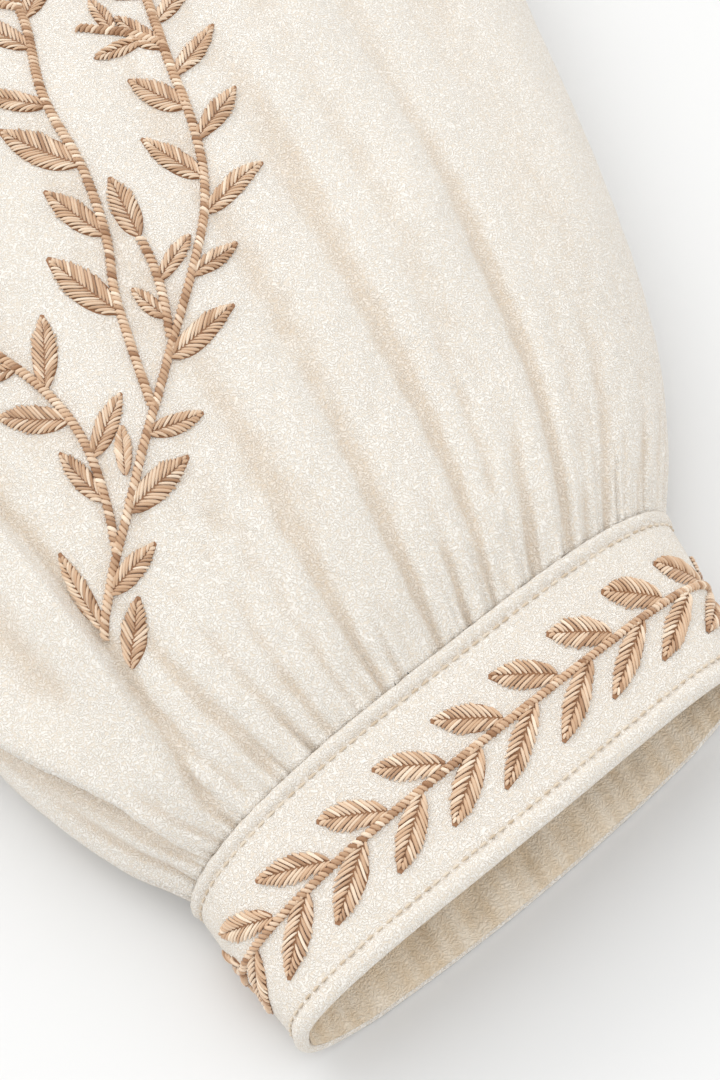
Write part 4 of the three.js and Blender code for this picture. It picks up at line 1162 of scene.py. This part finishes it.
def collar_stitches():
    batches = []
    r = np.random.default_rng(17)
    for share in COLLAR_SEAMS:
        line, inner = (
            np.array([collar_point(a, s, share, out) for a, s in COLLAR_SECTIONS[3:-3]]) for out in (1.95, 0.95)
        )
        batches.append(stitch_line(line, unit(line - inner), r, 2.6, 0.14, -0.12))
    return join_threads("collar_topstitch", batches, sewing_thread)


def front_stitches():
    """Stitching of both button bands, of the upper band's edge and of the hem."""
    batches = []
    r = np.random.default_rng(19)
    for side in (1, -1):
        grid, _ = FRONTS[side]
        rows = grid[grid[:, 0, 1] < NECK_CENTRE - NECK_FRONT + 1]
        lines = [
            np.array([on_line(distance, np.abs(row[:, 0] - row[0, 0]), row) for row in rows])
            for distance in (BAND_WIDTH, BAND_EDGE_STITCH)
        ]
        # The left front's edge and the first columns of its hem are covered by the right front.
        columns = np.moveaxis(grid, 1, 0)[0 if side < 0 else 16:]
        for line in lines if side < 0 else lines[:1]:
            batches.append(stitch_line(line, np.broadcast_to(UP, line.shape), r, 2.8, 0.42, 0.05))
        line = np.array([on_line(c[0, 1] + HEM_STITCH, c[:, 1], c) for c in columns])
        batches.append(stitch_line(line, np.broadcast_to(UP, line.shape), r, 2.8, 0.4, 0.05))
    return join_threads("front_topstitch", batches, sewing_thread)


def button_threads():
    """Three turns of thread between the holes of every button."""
    r = np.random.default_rng(23)
    s = np.linspace(-1, 1, 9)
    z = BUTTON_BASE + BUTTON_THICK + 0.34 - 1.9 * np.maximum(0, (np.abs(s) - 0.8) / 0.2) ** 1.5
    places = [y + off for y in BUTTON_YS for off in (-0.34, 0.0, 0.34)]
    paths = np.array([np.stack([s * HOLE_SPREAD, np.full_like(s, y), z], 1) for y in places])
    tones = r.uniform(-0.5, 0.5, len(paths))
    batch = threads(paths, np.broadcast_to(UP, paths.shape), 0.2, 6, 0.8, tones)
    return join_threads("button_threads", [batch], sewing_thread)


def buttonholes():
    """A bar of close stitches each side of a slit under every button, along the band."""
    r = np.random.default_rng(29)
    steps = np.linspace(0, BUTTONHOLE_LONG, BUTTONHOLE_STITCHES) - BUTTONHOLE_LONG / 2
    paths = np.array([
        [[side * out, y + step, 0] for out in np.linspace(0.25, 1.5, 4)]
        for y in BUTTON_YS for side in (-1, 1) for step in steps
    ])
    flat = FRONTS[-1][0][:, 8:20].reshape(-1, 3)
    level = float(np.median(flat[(flat[:, 1] < -90) & (flat[:, 1] > -600), 2]))
    paths[..., 2] = level + np.array([0.02, 0.3, 0.3, 0.0])
    tones = r.uniform(-0.6, 0.6, len(paths))
    batch = threads(paths, np.broadcast_to(UP, paths.shape), 0.26, 4, 0.6, tones)
    return join_threads("buttonhole_stitches", [batch], sewing_thread)


# ---- Build
for side, mirror in (("left", False), ("right", True)):
    sleeve = sleeve_cloth(side, mirror)
    band, lining = cuff_band(side, mirror), cuff_lining(side, mirror)
    stitches, cuff_leaves = cuff_stitches(side, mirror), cuff_vine(side, mirror)
    sleeve_leaves = sleeve_vine(side, mirror)

left, right, back = front_cloth("front_left", 1), front_cloth("front_right", -1), back_cloth()
collar = collar_cloth()
front_seams, collar_seams = front_stitches(), collar_stitches()
holes, button_thread = buttonholes(), button_threads()

for i in range(BUTTON_COUNT):
    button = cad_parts[f"button_{i + 1}"]
    button.data.materials.clear()
    button.data.materials.append(shell)

# ---- Floor, light and camera
FLOOR_HALF, FLOOR_Z = 4, -0.0004
LENS, SENSOR = 103.23, 36
CAMERA_TILT = 30
CAMERA_AWAY = np.array([0, -0.276, 0.478])
# Where the camera looks, from the middle of the left cuff's seam.
LOOK_OFF = np.array([-0.01303, 0.03763])
WORLD_COLOR, WORLD_STRENGTH = (0.995, 1.0, 0.998, 1), 1.05
# Name, the way to the light, strength, width in degrees, colour.
SUNS = (
    ("key", (-0.7, 0.8, 1.3), 0.60, 70, (1.0, 0.99, 0.97)),
    ("rake", (-0.9, 0.7, 0.75), 0.36, 24, (1.0, 0.985, 0.955)),
)
scene = bpy.context.scene
paper, _, _ = new_material("paper", Base_Color=(0.80, 0.80, 0.80, 1), Roughness=0.9, Specular_IOR_Level=0.1)
mesh = bpy.data.meshes.new("floor")
corners = [(x * FLOOR_HALF, y * FLOOR_HALF, FLOOR_Z) for x, y in ((-1, -1), (1, -1), (1, 1), (-1, 1))]
mesh.from_pydata(corners, [], [(0, 1, 2, 3)])
mesh.materials.append(paper)
floor = bpy.data.objects.new("floor", mesh)
scene.collection.objects.link(floor)

world = bpy.data.worlds.new("world")
scene.world = world
world.use_nodes = True
background = world.node_tree.nodes["Background"]
background.inputs["Color"].default_value = WORLD_COLOR
background.inputs["Strength"].default_value = WORLD_STRENGTH
for name, towards, strength, spread, color in SUNS:
    light = bpy.data.lights.new(name, "SUN")
    light.energy = strength
    light.angle = math.radians(spread)
    light.color = color
    lamp = bpy.data.objects.new(name, light)
    x, y, z = unit(np.array(towards))
    lamp.location = (x * 2, y * 2, z * 2)
    lamp.rotation_euler = (math.acos(z), 0, math.atan2(x, -y))
    scene.collection.objects.link(lamp)
scene.view_settings.view_transform = "Standard"

camera_data = bpy.data.cameras.new("camera")
camera_data.lens = LENS
camera_data.sensor_width = SENSOR
camera_data.clip_start = 0.01
camera = bpy.data.objects.new("camera", camera_data)
target = np.append((CUFF_CENTRE + SHIFT[:2]) * MM + LOOK_OFF, 0.0)
camera.location = target + CAMERA_AWAY
camera.rotation_euler = (math.radians(CAMERA_TILT), 0, 0)
scene.collection.objects.link(camera)
scene.camera = camera
